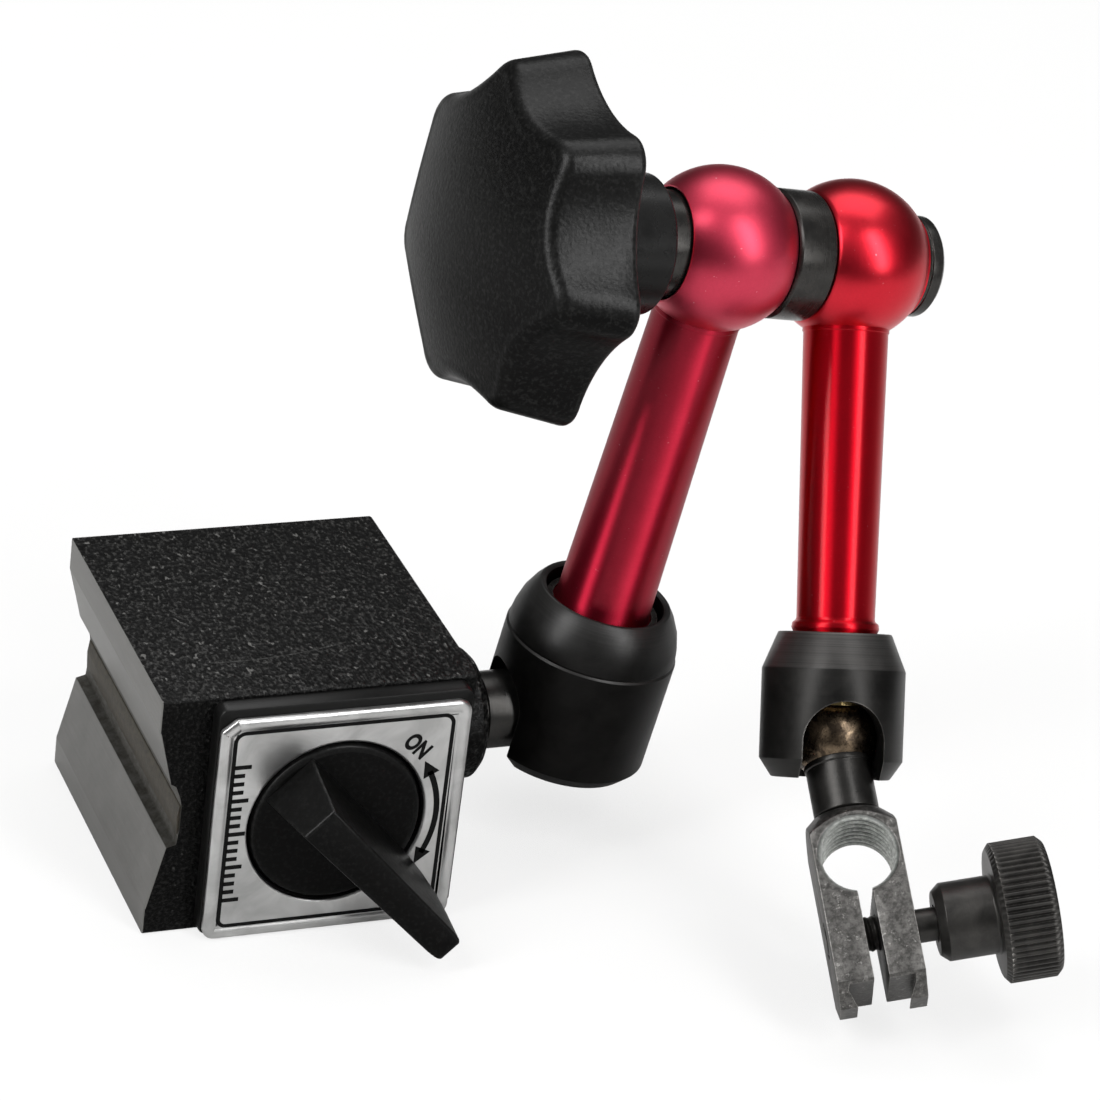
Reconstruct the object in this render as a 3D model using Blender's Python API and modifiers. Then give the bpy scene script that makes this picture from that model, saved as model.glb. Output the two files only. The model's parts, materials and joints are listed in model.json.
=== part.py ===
"""Mini magnetic base with a central-lock articulated arm and an indicator clamp.

Metres, +Z up; the dimensions below are in mm and degrees.  The base lies on one of its side
faces, the way it is set down on a bench.  X runs from the V-groove working face (-X) to the
face that carries the arm (+X), the switch is on the -Y face, and the origin is the centre of
the resting side face, on the ground.
"""

import math
from types import SimpleNamespace

import bmesh
import bpy
from mathutils import Matrix, Vector

MM = 0.001
STEPS, FINE_STEPS, SMALL_STEPS = 32, 48, 24     # facets round ordinary, large and small pieces
GAP = 0.3                                       # clearance kept between neighbouring pieces

# ---- magnetic base ----
BASE_X = 35.8                       # working face to arm face
BASE_Y = 36.2                       # front to back
BASE_Z = 29.7                       # across the two poles
HALF_X, HALF_Y, MID_Z = BASE_X / 2, BASE_Y / 2, BASE_Z / 2
FLAT_WIDTH = 3.9                    # ground flat at each edge of the working face
VEE_DEPTH = 1.85                    # depth of the V flanks where the slot starts
SLOT_HALF = 4.05                    # half width of the slot between the flanks
SLOT_DEPTH = 3.3
SEPARATOR_T = 1.5                   # strip between the poles
SEPARATOR_MARGIN = 0.6              # from the rotor bore to the strips
ROTOR_X, ROTOR_Z = 2.2, 13.95
ROTOR_R, BORE_R = 8.6, 9.0
MAGNET_FLAT = 8.1                   # rotor axis to each flat of the magnet
SHAFT_R, SHAFT_HOLE_R = 2.3, 2.6
BEZEL_T = 1.3
BEZEL_MARGIN = 0.5                  # bezel's sides inside the plate's
BEZEL_LOW, BEZEL_HIGH = 0.4, 28.9
PLATE_X, PLATE_Z = 2.35, 14.1       # centre of the face plate
PLATE_WIDTH, PLATE_HEIGHT, PLATE_T = 28.5, 27.85, 0.6
PLATE_CORNER_R = 1.0
PLATE_HOLE_R = 10.2                 # opening of the face plate round the switch
PLATE_BACK = GAP + BEZEL_T + GAP    # heights above the base front
PLATE_FACE = PLATE_BACK + PLATE_T
COVER_SINK = 1.7                    # depth of the back cover's frame in the bore
BOSS_R, BOSS_H, BOSS_BORE_R, BOSS_CHAMFER = 7.5, 6.1, 3.2, 0.9
SEAT_R, SEAT_DEPTH = 4.9, 2.6       # recess of the base that takes the boss
STUD_Y, STUD_Z = -2.6, 15.0

# ---- switch lever ----
LEVER_DEG = -45.9                   # direction of the lever in the XZ plane at rest (off)
# distance along the lever, low and high above the plate's face, half width low and high
LEVER_STATIONS = [
    (-9.0, -1.0, 0.2, 3.35, 3.25),
    (-6.9, -1.0, 7.6, 3.5, 2.16),
    (0.0, -1.0, 8.75, 3.3, 2.02),
    (8.6, -1.0, 9.95, 2.7, 1.83),
    (9.6, 1.3, 10.1, 2.6, 1.8),
    (13.4, 6.2, 10.85, 1.9, 1.66),
    (15.0, 8.6, 10.5, 1.45, 1.45),
]

# ---- arm skeleton ----
LOWER_BALL_X = 36.65
ELBOW_AZIMUTH, ELBOW_ELEVATION = 2.3, -9.1      # direction of the elbow axis
LOWER_LEAN, UPPER_LEAN = 1.5, -29.3             # lean of each arm about the elbow axis
LOWER_LENGTH, UPPER_LENGTH = 58.35, 52.6        # ball centre to elbow centre
ELBOW_SPACING = 16.7                            # between the two elbow ball centres
UPPER_SLOT_AZIMUTH = -17.3                      # upper socket's slot about the tube
UPPER_STEM_TILT, UPPER_STEM_AZIMUTH = 23.6, 2.6

# ---- tubes, retainers and push rods ----
RETAINER_DEPTH, RETAINER_T = 1.3, 0.8           # below the socket's top; thickness
SEAT_HEIGHT = 2.0                               # top of a brass seat above its ball
SEAT_ANGLE = 38                                 # elevation of the seat's edge on the ball
TUBE_TOP_R, TUBE_BORE_R = 4.75, 2.6
TUBE_END = 6.4                                  # tube end to elbow centre
BEAD_H = 1.3
ROD_R, ROD_END = 2.0, 5.3                       # ROD_END: push rod tip to elbow centre

# ---- elbow and lock knob ----
LOWER_FLAT, UPPER_FLAT = 6.2, 5.6               # elbow ball centre to its flat
BOLT_R = 2.9
BOLT_HOLE_R = BOLT_R + 0.35
COLLAR_R, CAP_R = 5.85, 5.65
STEP_OFFSET = 2.6                               # elbow ball centre to the bore's bottom
KNOB_R, KNOB_VALLEY_R, KNOB_LOBES = 20.4, 16.6, 7
LOBE_POINTS = 12
KNOB_BACK, KNOB_CROWN = 20.3, 32.6              # back face and centre of the front
KNOB_DOME_R = 51.5                              # radius of the crowned front
KNOB_PHASE = 14.5
HUB_R, HUB_END = 7.7, 9.6

# ---- indicator clamp ----
CLAMP_ROLL = 20.55
CLAMP_DROP = 15.6                               # upper ball centre to the stem hole
CLAMP_T, CLAMP_WIDTH = 10.0, 9.6
CLAMP_TOP, CLAMP_FLOOR, CLAMP_TIP = 5.8, 14.2, 16.1     # distances from the stem hole
CLAMP_HOLE_R = 4.15
SLIT_HALF = 0.8
SCREW_DROP, SCREW_R = 7.7, 1.9                  # SCREW_DROP: stem hole to screw axis


# ---------------------------------------------------------------- scene and materials
for old in list(bpy.data.objects):
    bpy.data.objects.remove(old, do_unlink=True)

PARTS = bpy.data.collections.new("magnetic_base_indicator_arm")
CUTTERS = bpy.data.collections.new("cutters")
for group in (PARTS, CUTTERS):
    bpy.context.scene.collection.children.link(group)


def material(name, color, roughness, metallic):
    made = bpy.data.materials.new(name)
    made.use_nodes = True
    shader = made.node_tree.nodes["Principled BSDF"]
    shader.inputs["Base Color"].default_value = (*color, 1.0)
    shader.inputs["Roughness"].default_value = roughness
    shader.inputs["Metallic"].default_value = metallic
    return made


PAINT = material("crackle_paint", color=(0.022, 0.022, 0.023), roughness=0.55, metallic=0.0)
STEEL = material("ground_steel", color=(0.33, 0.33, 0.32), roughness=0.38, metallic=1.0)
BRASS = material("brass_strip", color=(0.42, 0.32, 0.16), roughness=0.42, metallic=1.0)
SMOOTH = material("smooth_black", color=(0.015, 0.015, 0.016), roughness=0.35, metallic=0.0)
BRUSHED = material("brushed_plate", color=(0.62, 0.62, 0.63), roughness=0.32, metallic=1.0)
PLASTIC = material("black_plastic", color=(0.022, 0.022, 0.023), roughness=0.5, metallic=0.0)
OXIDE = material("black_oxide", color=(0.045, 0.042, 0.040), roughness=0.36, metallic=0.9)
RED = material("red_anodised", color=(0.47, 0.012, 0.035), roughness=0.28, metallic=0.9)
FERRITE = material("ferrite", color=(0.06, 0.06, 0.065), roughness=0.6, metallic=0.2)
BRIGHT = material("bright_steel", color=(0.55, 0.55, 0.55), roughness=0.25, metallic=1.0)


# ---------------------------------------------------------------- directions and frames
def square_to(axis, reference):
    """The unit vector square to axis that lies nearest the reference."""
    reference = Vector(reference)
    return (reference - axis * axis.dot(reference)).normalized()


def around(axis, degrees, reference=(0, -1, 0)):
    """The direction square to axis, turned about it by degrees from the reference."""
    x = square_to(axis, reference)
    y = axis.cross(x)
    angle = math.radians(degrees)
    return x * math.cos(angle) + y * math.sin(angle)


def direction(azimuth, elevation):
    azimuth, elevation = math.radians(azimuth), math.radians(elevation)
    level = math.cos(elevation)
    return Vector((level * math.cos(azimuth), level * math.sin(azimuth), math.sin(elevation)))


def frame(name, origin, z, x_hint):
    """An empty at origin (mm) whose Z is z and whose X lies as near x_hint as it can."""
    z = Vector(z).normalized()
    x = square_to(z, x_hint)
    matrix = Matrix((x, z.cross(x), z)).transposed().to_4x4()
    matrix.translation = Vector(origin) * MM
    empty = bpy.data.objects.new(name, None)
    empty.empty_display_size = 0.006
    PARTS.objects.link(empty)
    empty.matrix_world = matrix
    return empty


ELBOW_AXIS = direction(ELBOW_AZIMUTH, ELBOW_ELEVATION)
LOWER_AXIS = around(ELBOW_AXIS, LOWER_LEAN, (0, 0, 1))
UPPER_AXIS = around(ELBOW_AXIS, UPPER_LEAN, (0, 0, 1))
LOWER_BALL = Vector((LOWER_BALL_X, STUD_Y, STUD_Z))
LOWER_ELBOW = LOWER_BALL + LOWER_AXIS * LOWER_LENGTH
UPPER_ELBOW = LOWER_ELBOW + ELBOW_AXIS * ELBOW_SPACING
UPPER_BALL = UPPER_ELBOW - UPPER_AXIS * UPPER_LENGTH

STEM_TILT = math.radians(UPPER_STEM_TILT)
STEM_SIDE = around(UPPER_AXIS, UPPER_STEM_AZIMUTH)
CLAMP_AXIS = -UPPER_AXIS * math.cos(STEM_TILT) + STEM_SIDE * math.sin(STEM_TILT)
SCREW_AXIS = around(CLAMP_AXIS, CLAMP_ROLL, (1, 0, 0))
STEM_HOLE = UPPER_BALL + CLAMP_AXIS * CLAMP_DROP
SCREW_CENTRE = STEM_HOLE + CLAMP_AXIS * SCREW_DROP

SWITCH_CENTRE = (ROTOR_X, -HALF_Y, ROTOR_Z)
BASE_FRAME = frame("frame_base", (0, 0, 0), (0, 0, 1), (1, 0, 0))
# Z comes out of the front of the base, square to the face plate
SWITCH_FRAME = frame("joint_switch", SWITCH_CENTRE, (0, -1, 0), (1, 0, 0))
LEVER_FRAME = frame("joint_switch_lever", SWITCH_CENTRE, (0, -1, 0), direction(0, LEVER_DEG))
BACK_FRAME = frame("frame_back", (ROTOR_X, HALF_Y - COVER_SINK, ROTOR_Z), (0, 1, 0), (1, 0, 0))
SEAT_FRAME = frame("seat", (HALF_X, STUD_Y, STUD_Z), (1, 0, 0), (0, 0, 1))
STUD_FRAME = frame("joint_lower_ball", LOWER_BALL, (1, 0, 0), (0, 0, 1))
LOWER_FRAME = frame("joint_lower_socket", LOWER_BALL, LOWER_AXIS, (-1, 0, 0))
LOWER_ELBOW_FRAME = frame("joint_elbow", LOWER_ELBOW, ELBOW_AXIS, LOWER_AXIS)
UPPER_ELBOW_FRAME = frame("joint_elbow_far", UPPER_ELBOW, ELBOW_AXIS, UPPER_AXIS)
UPPER_FRAME = frame("joint_upper_socket", UPPER_BALL, UPPER_AXIS,
                    around(UPPER_AXIS, UPPER_SLOT_AZIMUTH))
# Z comes out of the knob's front
KNOB_FRAME = frame("joint_knob", LOWER_ELBOW, -ELBOW_AXIS,
                   around(-ELBOW_AXIS, KNOB_PHASE, LOWER_AXIS))
frame("joint_upper_ball", UPPER_BALL, CLAMP_AXIS, SCREW_AXIS)
UPPER_STEM_FRAME = frame("joint_upper_stem", UPPER_BALL, -CLAMP_AXIS, SCREW_AXIS)
# Z down the block from the stem hole, X to the screw's head, Y across the thickness
CLAMP_FRAME = frame("joint_clamp", STEM_HOLE, CLAMP_AXIS, SCREW_AXIS)
HOLE_FRAME = frame("hole_axis", STEM_HOLE, CLAMP_AXIS.cross(SCREW_AXIS), SCREW_AXIS)
SCREW_FRAME = frame("joint_screw", SCREW_CENTRE, SCREW_AXIS, CLAMP_AXIS)

# The two arms.  Socket heights are measured from the ball centre.
LOWER = SimpleNamespace(
    name="lower", frame=LOWER_FRAME, length=LOWER_LENGTH, ball_r=6.25, stem_r=4.45,
    # socket: outside, shoulder and lip, mouth, chamfered bottom, slot with its round end
    socket_r=10.0, top=14.3, shoulder=8.5, lip_r=7.5, mouth_r=6.8, bottom=-6.2, chamfer=1.4,
    slot_half=5.05, slot_centre=-0.45,
    retainer_bore=5.85, tube_r=5.25, flange_r=6.3, bead=0.75,
    # elbow ball: bore_side is the side of the elbow axis its wide bore opens to
    elbow=LOWER_ELBOW, axis=LOWER_AXIS, elbow_frame=LOWER_ELBOW_FRAME, elbow_r=9.15,
    elbow_cutter="cut_ball_1", elbow_flat=LOWER_FLAT, elbow_bore=COLLAR_R + 0.35, bore_side=-1)
UPPER = SimpleNamespace(
    name="upper", frame=UPPER_FRAME, length=UPPER_LENGTH, ball_r=5.05, stem_r=3.65,
    socket_r=7.93, top=11.2, shoulder=7.2, lip_r=6.0, mouth_r=5.35, bottom=-4.9, chamfer=1.5,
    slot_half=4.6, slot_centre=-0.65,
    retainer_bore=4.8, tube_r=4.3, flange_r=5.0, bead=0.45,
    elbow=UPPER_ELBOW, axis=UPPER_AXIS, elbow_frame=UPPER_ELBOW_FRAME, elbow_r=9.03,
    elbow_cutter="cut_ball_2", elbow_flat=UPPER_FLAT, elbow_bore=CAP_R + 0.3, bore_side=1)


# ---------------------------------------------------------------- helpers
# A piece made without a material is a cutter: a hidden helper for boolean modifiers.
def place(name, mesh, parent, mat):
    obj = bpy.data.objects.new(name, mesh)
    (PARTS if mat else CUTTERS).objects.link(obj)
    obj.parent = parent
    if mat:
        mesh.materials.append(mat)
    else:
        obj.hide_render = True
        obj.display_type = "WIRE"
    return obj


def place_bmesh(name, shape, parent, mat):
    mesh = bpy.data.meshes.new(name)
    shape.to_mesh(mesh)
    shape.free()
    return place(name, mesh, parent, mat)


def turned(name, profile, parent, mat=None, steps=STEPS, closed=False):
    """A profile of (radius, height) turned about the frame's Z, joined end to start if closed."""
    mesh = bpy.data.meshes.new(name)
    points = [(radius * MM, 0.0, z * MM) for radius, z in profile]
    edges = [(i, i + 1) for i in range(len(points) - 1)]
    if closed:
        edges.append((len(points) - 1, 0))
    mesh.from_pydata(points, edges, [])
    obj = place(name, mesh, parent, mat)
    screw = obj.modifiers.new("Turn", "SCREW")
    screw.axis = "Z"
    screw.angle = 2 * math.pi
    screw.steps = screw.render_steps = steps
    screw.use_merge_vertices = True
    screw.merge_threshold = 0.00001
    screw.use_smooth_shade = True
    return obj


def box(name, low, high, parent, mat=None):
    """A box between the corners low and high."""
    low, high = Vector(low) * MM, Vector(high) * MM
    shape = bmesh.new()
    bmesh.ops.create_cube(shape, size=1.0)
    bmesh.ops.scale(shape, vec=high - low, verts=shape.verts)
    bmesh.ops.translate(shape, vec=(low + high) / 2, verts=shape.verts)
    return place_bmesh(name, shape, parent, mat)


def cylinder(name, radius, low, high, parent, mat=None, steps=STEPS):
    """A cylinder from low to high along the frame's Z."""
    shape = bmesh.new()
    bmesh.ops.create_cone(shape, cap_ends=True, segments=steps, radius1=radius * MM,
                          radius2=radius * MM, depth=(high - low) * MM)
    bmesh.ops.translate(shape, vec=(0, 0, (low + high) / 2 * MM), verts=shape.verts)
    return place_bmesh(name, shape, parent, mat)


# how a prism lies in its frame
OUTLINE_XZ = Matrix(((1, 0, 0, 0), (0, 0, -1, 0), (0, 1, 0, 0), (0, 0, 0, 1)))  # depth to -Y
OUTLINE_YZ = Matrix(((0, 0, 1, 0), (1, 0, 0, 0), (0, 1, 0, 0), (0, 0, 0, 1)))   # depth to +X


def prism(name, outline, low, high, parent, mat=None, lay=None):
    """A flat outline, filled as a 2D curve and extruded from low to high, then laid by a matrix."""
    curve = bpy.data.curves.new(name + "_outline", "CURVE")
    curve.dimensions = "2D"
    curve.fill_mode = "BOTH"
    curve.extrude = (high - low) / 2 * MM
    spline = curve.splines.new("POLY")
    spline.points.add(len(outline) - 1)
    for point, (x, y) in zip(spline.points, outline):
        point.co = (x * MM, y * MM, 0.0, 1.0)
    spline.use_cyclic_u = True
    guide = bpy.data.objects.new(name + "_guide", curve)
    bpy.context.scene.collection.objects.link(guide)
    bpy.context.view_layer.update()
    graph = bpy.context.evaluated_depsgraph_get()
    filled = bpy.data.meshes.new_from_object(guide.evaluated_get(graph))
    bpy.data.objects.remove(guide, do_unlink=True)

    shape = bmesh.new()
    shape.from_mesh(filled)
    bpy.data.meshes.remove(filled)
    bmesh.ops.remove_doubles(shape, verts=shape.verts, dist=0.000002)
    bmesh.ops.translate(shape, vec=(0, 0, (low + high) / 2 * MM), verts=shape.verts)
    if lay is not None:
        bmesh.ops.transform(shape, matrix=lay, verts=shape.verts)
    bmesh.ops.recalc_face_normals(shape, faces=shape.faces)
    return place_bmesh(name, shape, parent, mat)


def loft(name, sections, parent, mat=None):
    """A solid through sections of equally many points, closed by its first and last."""
    shape = bmesh.new()
    rings = [[shape.verts.new(Vector(p) * MM) for p in section] for section in sections]
    for low, high in zip(rings, rings[1:]):
        for i in range(len(low)):
            j = (i + 1) % len(low)
            shape.faces.new((low[i], low[j], high[j], high[i]))
    shape.faces.new(rings[0][::-1])
    shape.faces.new(rings[-1])
    bmesh.ops.recalc_face_normals(shape, faces=shape.faces)
    return place_bmesh(name, shape, parent, mat)


def combine(obj, other, operation):
    boolean = obj.modifiers.new(operation.title() + "_" + other.name, "BOOLEAN")
    boolean.operation = operation
    boolean.solver = "EXACT"
    boolean.object = other


def cut(obj, *others):
    for other in others:
        combine(obj, other, "DIFFERENCE")


def arc(x, y, radius, start, end, count):
    """count + 1 points of a circle about (x, y), from start to end degrees."""
    angles = [math.radians(start + (end - start) * i / count) for i in range(count + 1)]
    return [(x + radius * math.cos(a), y + radius * math.sin(a)) for a in angles]


# ---------------------------------------------------------------- magnetic base
def pole_outline(side):
    """Half of the base in X and Z: the flat, V flank and slot of the working face, the back."""
    split = SEPARATOR_T / 2 + GAP
    # X, distance from the mid plane
    points = [
        (HALF_X, split), (HALF_X, MID_Z), (-HALF_X, MID_Z), (-HALF_X, MID_Z - FLAT_WIDTH),
        (-HALF_X + VEE_DEPTH, SLOT_HALF), (-HALF_X + VEE_DEPTH + 0.9, SLOT_HALF - 0.25),
        (-HALF_X + SLOT_DEPTH, SLOT_HALF - 1.2), (-HALF_X + SLOT_DEPTH, split),
    ]
    return [(x, MID_Z + side * z) for x, z in points]


def build_base_body():
    """The two poles and the brass strips between them, bored for the rotor and the boss."""
    bore = cylinder("cut_rotor_bore", BORE_R, -BASE_Y - 5, 5, SWITCH_FRAME, steps=FINE_STEPS)
    boss_seat = cylinder("cut_boss_seat", SEAT_R, -SEAT_DEPTH, 30, SEAT_FRAME)
    for name, side in (("pole_upper", 1), ("pole_lower", -1)):
        pole = prism(name, pole_outline(side), -HALF_Y, HALF_Y, BASE_FRAME, PAINT, OUTLINE_XZ)
        cut(pole, bore, boss_seat)

    low, high = MID_Z - SEPARATOR_T / 2, MID_Z + SEPARATOR_T / 2
    reach = BORE_R + SEPARATOR_MARGIN
    box("separator_groove", (-HALF_X + SLOT_DEPTH + 0.2, -HALF_Y, low),
        (ROTOR_X - reach, HALF_Y, high), BASE_FRAME, BRASS)
    arm_side = box("separator_arm_side", (ROTOR_X + reach, -HALF_Y, low),
                   (HALF_X, HALF_Y, high), BASE_FRAME, BRASS)
    cut(arm_side, boss_seat)


def build_arm_boss():
    spigot_r, spigot_end = SEAT_R - GAP, GAP - SEAT_DEPTH
    turned("arm_boss", [
        (BOSS_BORE_R, BOSS_H), (BOSS_R - BOSS_CHAMFER, BOSS_H), (BOSS_R, BOSS_H - BOSS_CHAMFER),
        (BOSS_R, GAP), (spigot_r, GAP), (spigot_r, spigot_end), (BOSS_BORE_R, spigot_end),
    ], SEAT_FRAME, PAINT, closed=True)


def build_bezel():
    """The moulded bezel under the plate, with the switch opening through it."""
    half = PLATE_WIDTH / 2 - BEZEL_MARGIN
    bezel = box("front_bezel", (PLATE_X - half, -HALF_Y - GAP - BEZEL_T, BEZEL_LOW),
                (PLATE_X + half, -HALF_Y - GAP, BEZEL_HIGH), BASE_FRAME, SMOOTH)
    soft = bezel.modifiers.new("Edges", "BEVEL")
    soft.width = 0.5 * MM
    soft.segments = 2
    soft.limit_method = "ANGLE"
    cut(bezel, cylinder("cut_bezel_hole", PLATE_HOLE_R + 0.1, -1.0, 6.0, SWITCH_FRAME,
                        steps=FINE_STEPS))


def build_face_plate():
    """The plate: a rectangle with three rounded corners and one cut off."""
    left, right = PLATE_X - PLATE_WIDTH / 2, PLATE_X + PLATE_WIDTH / 2
    low, high = PLATE_Z - PLATE_HEIGHT / 2, PLATE_Z + PLATE_HEIGHT / 2
    corner = PLATE_CORNER_R
    outline = arc(left + corner, low + corner, corner, 180, 270, 4)
    outline += arc(right - corner, low + corner, corner, 270, 360, 4)
    outline += arc(right - corner, high - corner, corner, 0, 90, 4)
    outline += [(left + 1.6, high), (left, high - 1.4)]
    plate = prism("face_plate", outline, HALF_Y + PLATE_BACK, HALF_Y + PLATE_FACE,
                  BASE_FRAME, BRUSHED, OUTLINE_XZ)
    cut(plate, cylinder("cut_plate_hole", PLATE_HOLE_R, 1.0, 6.0, SWITCH_FRAME,
                        steps=FINE_STEPS))


def build_back_cover():
    radius = BORE_R - GAP
    turned("back_cover", [(0, 1.6), (radius, 1.6), (radius, 0.1), (0, 0.1)],
           BACK_FRAME, SMOOTH, steps=FINE_STEPS)


# ---------------------------------------------------------------- switch
def build_rotor():
    """The magnet, bored and flatted on two sides, and the shaft through it."""
    magnet = cylinder("rotor_magnet", ROTOR_R, -31.0, -3.0, SWITCH_FRAME, FERRITE, FINE_STEPS)
    cut(magnet, cylinder("cut_magnet_bore", SHAFT_HOLE_R, -40, 2, SWITCH_FRAME,
                         steps=SMALL_STEPS))
    for tag, low, high in (("a", -MAGNET_FLAT - 2, -MAGNET_FLAT),
                           ("b", MAGNET_FLAT, MAGNET_FLAT + 2)):
        cut(magnet, box("cut_magnet_flat_" + tag, (-9, low, -32), (9, high, -2), SWITCH_FRAME))
    turned("rotor_shaft", [(0, 1.4), (SHAFT_R, 1.4), (SHAFT_R, -32.0), (1.6, -33.6), (0, -33.6)],
           SWITCH_FRAME, BRIGHT, steps=SMALL_STEPS)


def build_handle():
    """A disc in the plate's opening, with the tapered finger lever moulded on it."""
    rim = PLATE_HOLE_R - 0.5
    handle = turned("switch_handle", [
        (0, PLATE_FACE + 0.1), (rim - 0.4, PLATE_FACE + 0.1), (rim, PLATE_FACE - 0.3),
        (rim, 0.5), (0, 0.5),
    ], LEVER_FRAME, PLASTIC, steps=FINE_STEPS)
    cut(handle, cylinder("cut_handle_shaft", SHAFT_HOLE_R, -1.0, 1.7, SWITCH_FRAME,
                         steps=SMALL_STEPS))
    sections = []
    for x, low, high, half_low, half_high in LEVER_STATIONS:
        low += PLATE_FACE
        high += PLATE_FACE
        sections.append([(x, -half_low, low), (x, half_low, low),
                         (x, half_high, high), (x, -half_high, high)])
    combine(handle, loft("lever_body", sections, LEVER_FRAME), "UNION")


# ---------------------------------------------------------------- ball studs
def ball_and_stem(arm, undercut, stem_start, stem_end):
    """Profile of a ball at the origin, a neck thinner by undercut, and a stem down -Z."""
    neck_r = arm.stem_r - undercut
    neck_angle = -90 + math.degrees(math.asin(neck_r / arm.ball_r))
    return ([(0, arm.ball_r)] + arc(0, 0, arm.ball_r, 90, neck_angle, 14)[1:]
            + [(neck_r, -stem_start), (arm.stem_r, -stem_start - 0.35), (arm.stem_r, -stem_end)])


def build_lower_stud():
    """The lower ball; its stem runs along -X to the boss, its spigot into the base."""
    reach = LOWER_BALL_X - HALF_X
    stem_end = reach - BOSS_H - GAP
    turned("lower_ball_stud", ball_and_stem(LOWER, 0.75, 5.2, stem_end) + [
        (2.9, -stem_end), (2.9, -reach + 0.2), (2.4, -reach - 0.6), (0, -reach - 0.6),
    ], STUD_FRAME, OXIDE)


def build_upper_stud():
    """The upper ball; its stem runs down to the clamp block."""
    stem_end = CLAMP_DROP - CLAMP_TOP - GAP
    turned("upper_ball_stud", ball_and_stem(UPPER, 0.6, 3.9, stem_end) + [
        (2.2, -stem_end), (2.2, -stem_end - 1.2), (0, -stem_end - 1.2),
    ], UPPER_STEM_FRAME, OXIDE)


# ---------------------------------------------------------------- arms
def build_socket(arm):
    """A turned socket: bore from the top, ball seat at the bottom, slot for the stem's tilt."""
    seat_r = arm.ball_r + GAP
    seat_angle = -math.degrees(math.acos(arm.slot_half / seat_r))
    seat_low = seat_r * math.sin(math.radians(seat_angle))
    outer = [(arm.lip_r, arm.top)]
    for i in range(1, 5):
        angle = i / 4 * math.pi / 2
        outer.append((
            arm.lip_r + (arm.socket_r - arm.lip_r) * math.sin(angle) ** 0.9,
            arm.top + (arm.shoulder - arm.top) * (1 - math.cos(angle)) ** 0.75))
    outer += [(arm.socket_r, arm.bottom + arm.chamfer), (arm.socket_r - arm.chamfer, arm.bottom)]
    inner = [(arm.slot_half, arm.bottom), (arm.slot_half, seat_low)]
    inner += arc(0, 0, seat_r, seat_angle, 0, 6)[1:]
    inner += [(seat_r, arm.top - 5.2), (arm.mouth_r, arm.top - 5.0),
              (arm.mouth_r, arm.top - 0.4), (arm.mouth_r + 0.35, arm.top)]
    name = arm.name + "_socket"
    socket = turned(name, outer + inner, arm.frame, OXIDE, closed=True)

    half, low = arm.slot_half, arm.bottom - 3
    outline = [(half, low)] + arc(0, arm.slot_centre, half, 0, 180, 12) + [(-half, low)]
    cut(socket, prism("cut_slot_" + name, outline, 0.0, arm.socket_r + 4, arm.frame,
                      lay=OUTLINE_YZ))


def build_retainer(arm):
    """The ring that keeps the tube's end in the socket."""
    outer, inner = arm.mouth_r - GAP, arm.retainer_bore
    top = arm.top - RETAINER_DEPTH
    low = top - RETAINER_T
    turned(arm.name + "_retainer", [(outer, top), (outer, low), (inner, low), (inner, top)],
           arm.frame, OXIDE, closed=True)


def build_ball_seat(arm):
    """The brass seat that the push rod presses on the ball."""
    radius = arm.ball_r + GAP
    top = arm.ball_r + SEAT_HEIGHT
    edge = radius * math.cos(math.radians(SEAT_ANGLE))
    profile = [(0, top), (edge - 0.6, top), (edge + 0.45, top - 1.0),
               (edge + 0.45, radius * math.sin(math.radians(SEAT_ANGLE)))]
    profile += arc(0, 0, radius, SEAT_ANGLE, 90, 6)
    turned(arm.name + "_ball_seat", profile, arm.frame, BRASS, steps=SMALL_STEPS)


def build_tube(arm):
    """A tapered tube: flange in the socket, bead at its mouth, top hollowed for the elbow."""
    low = arm.ball_r + SEAT_HEIGHT + 0.6
    high = arm.length - TUBE_END
    flange_top = arm.top - RETAINER_DEPTH - RETAINER_T - GAP
    lip = arm.top + 0.1
    bead_r, neck_r = arm.tube_r + arm.bead, arm.tube_r - 0.1
    tube = turned(arm.name + "_tube", [
        (TUBE_TOP_R, high), (TUBE_TOP_R, high - 0.2),
        (arm.tube_r, lip + BEAD_H), (bead_r, lip + BEAD_H - 0.3), (bead_r, lip + 0.4),
        (neck_r, lip + 0.1), (neck_r, flange_top + GAP), (neck_r, flange_top + 0.02),
        (arm.flange_r, flange_top), (arm.flange_r, low),
        (TUBE_BORE_R, low), (TUBE_BORE_R, high),
    ], arm.frame, RED, closed=True)

    shape = bmesh.new()
    bmesh.ops.create_uvsphere(shape, u_segments=32, v_segments=16,
                              radius=(arm.elbow_r + 0.25) * MM)
    bmesh.ops.translate(shape, vec=(0, 0, arm.length * MM), verts=shape.verts)
    cut(tube, place_bmesh(arm.elbow_cutter, shape, arm.frame, None))


def build_push_rod(arm):
    tip = arm.length - ROD_END
    low = arm.ball_r + SEAT_HEIGHT + GAP
    turned(arm.name + "_push_rod", [
        (0, tip), (0.9, tip - 0.15), (1.6, tip - 0.7), (ROD_R, tip - 1.6), (ROD_R, low), (0, low),
    ], arm.frame, BRIGHT, steps=SMALL_STEPS)


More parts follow.
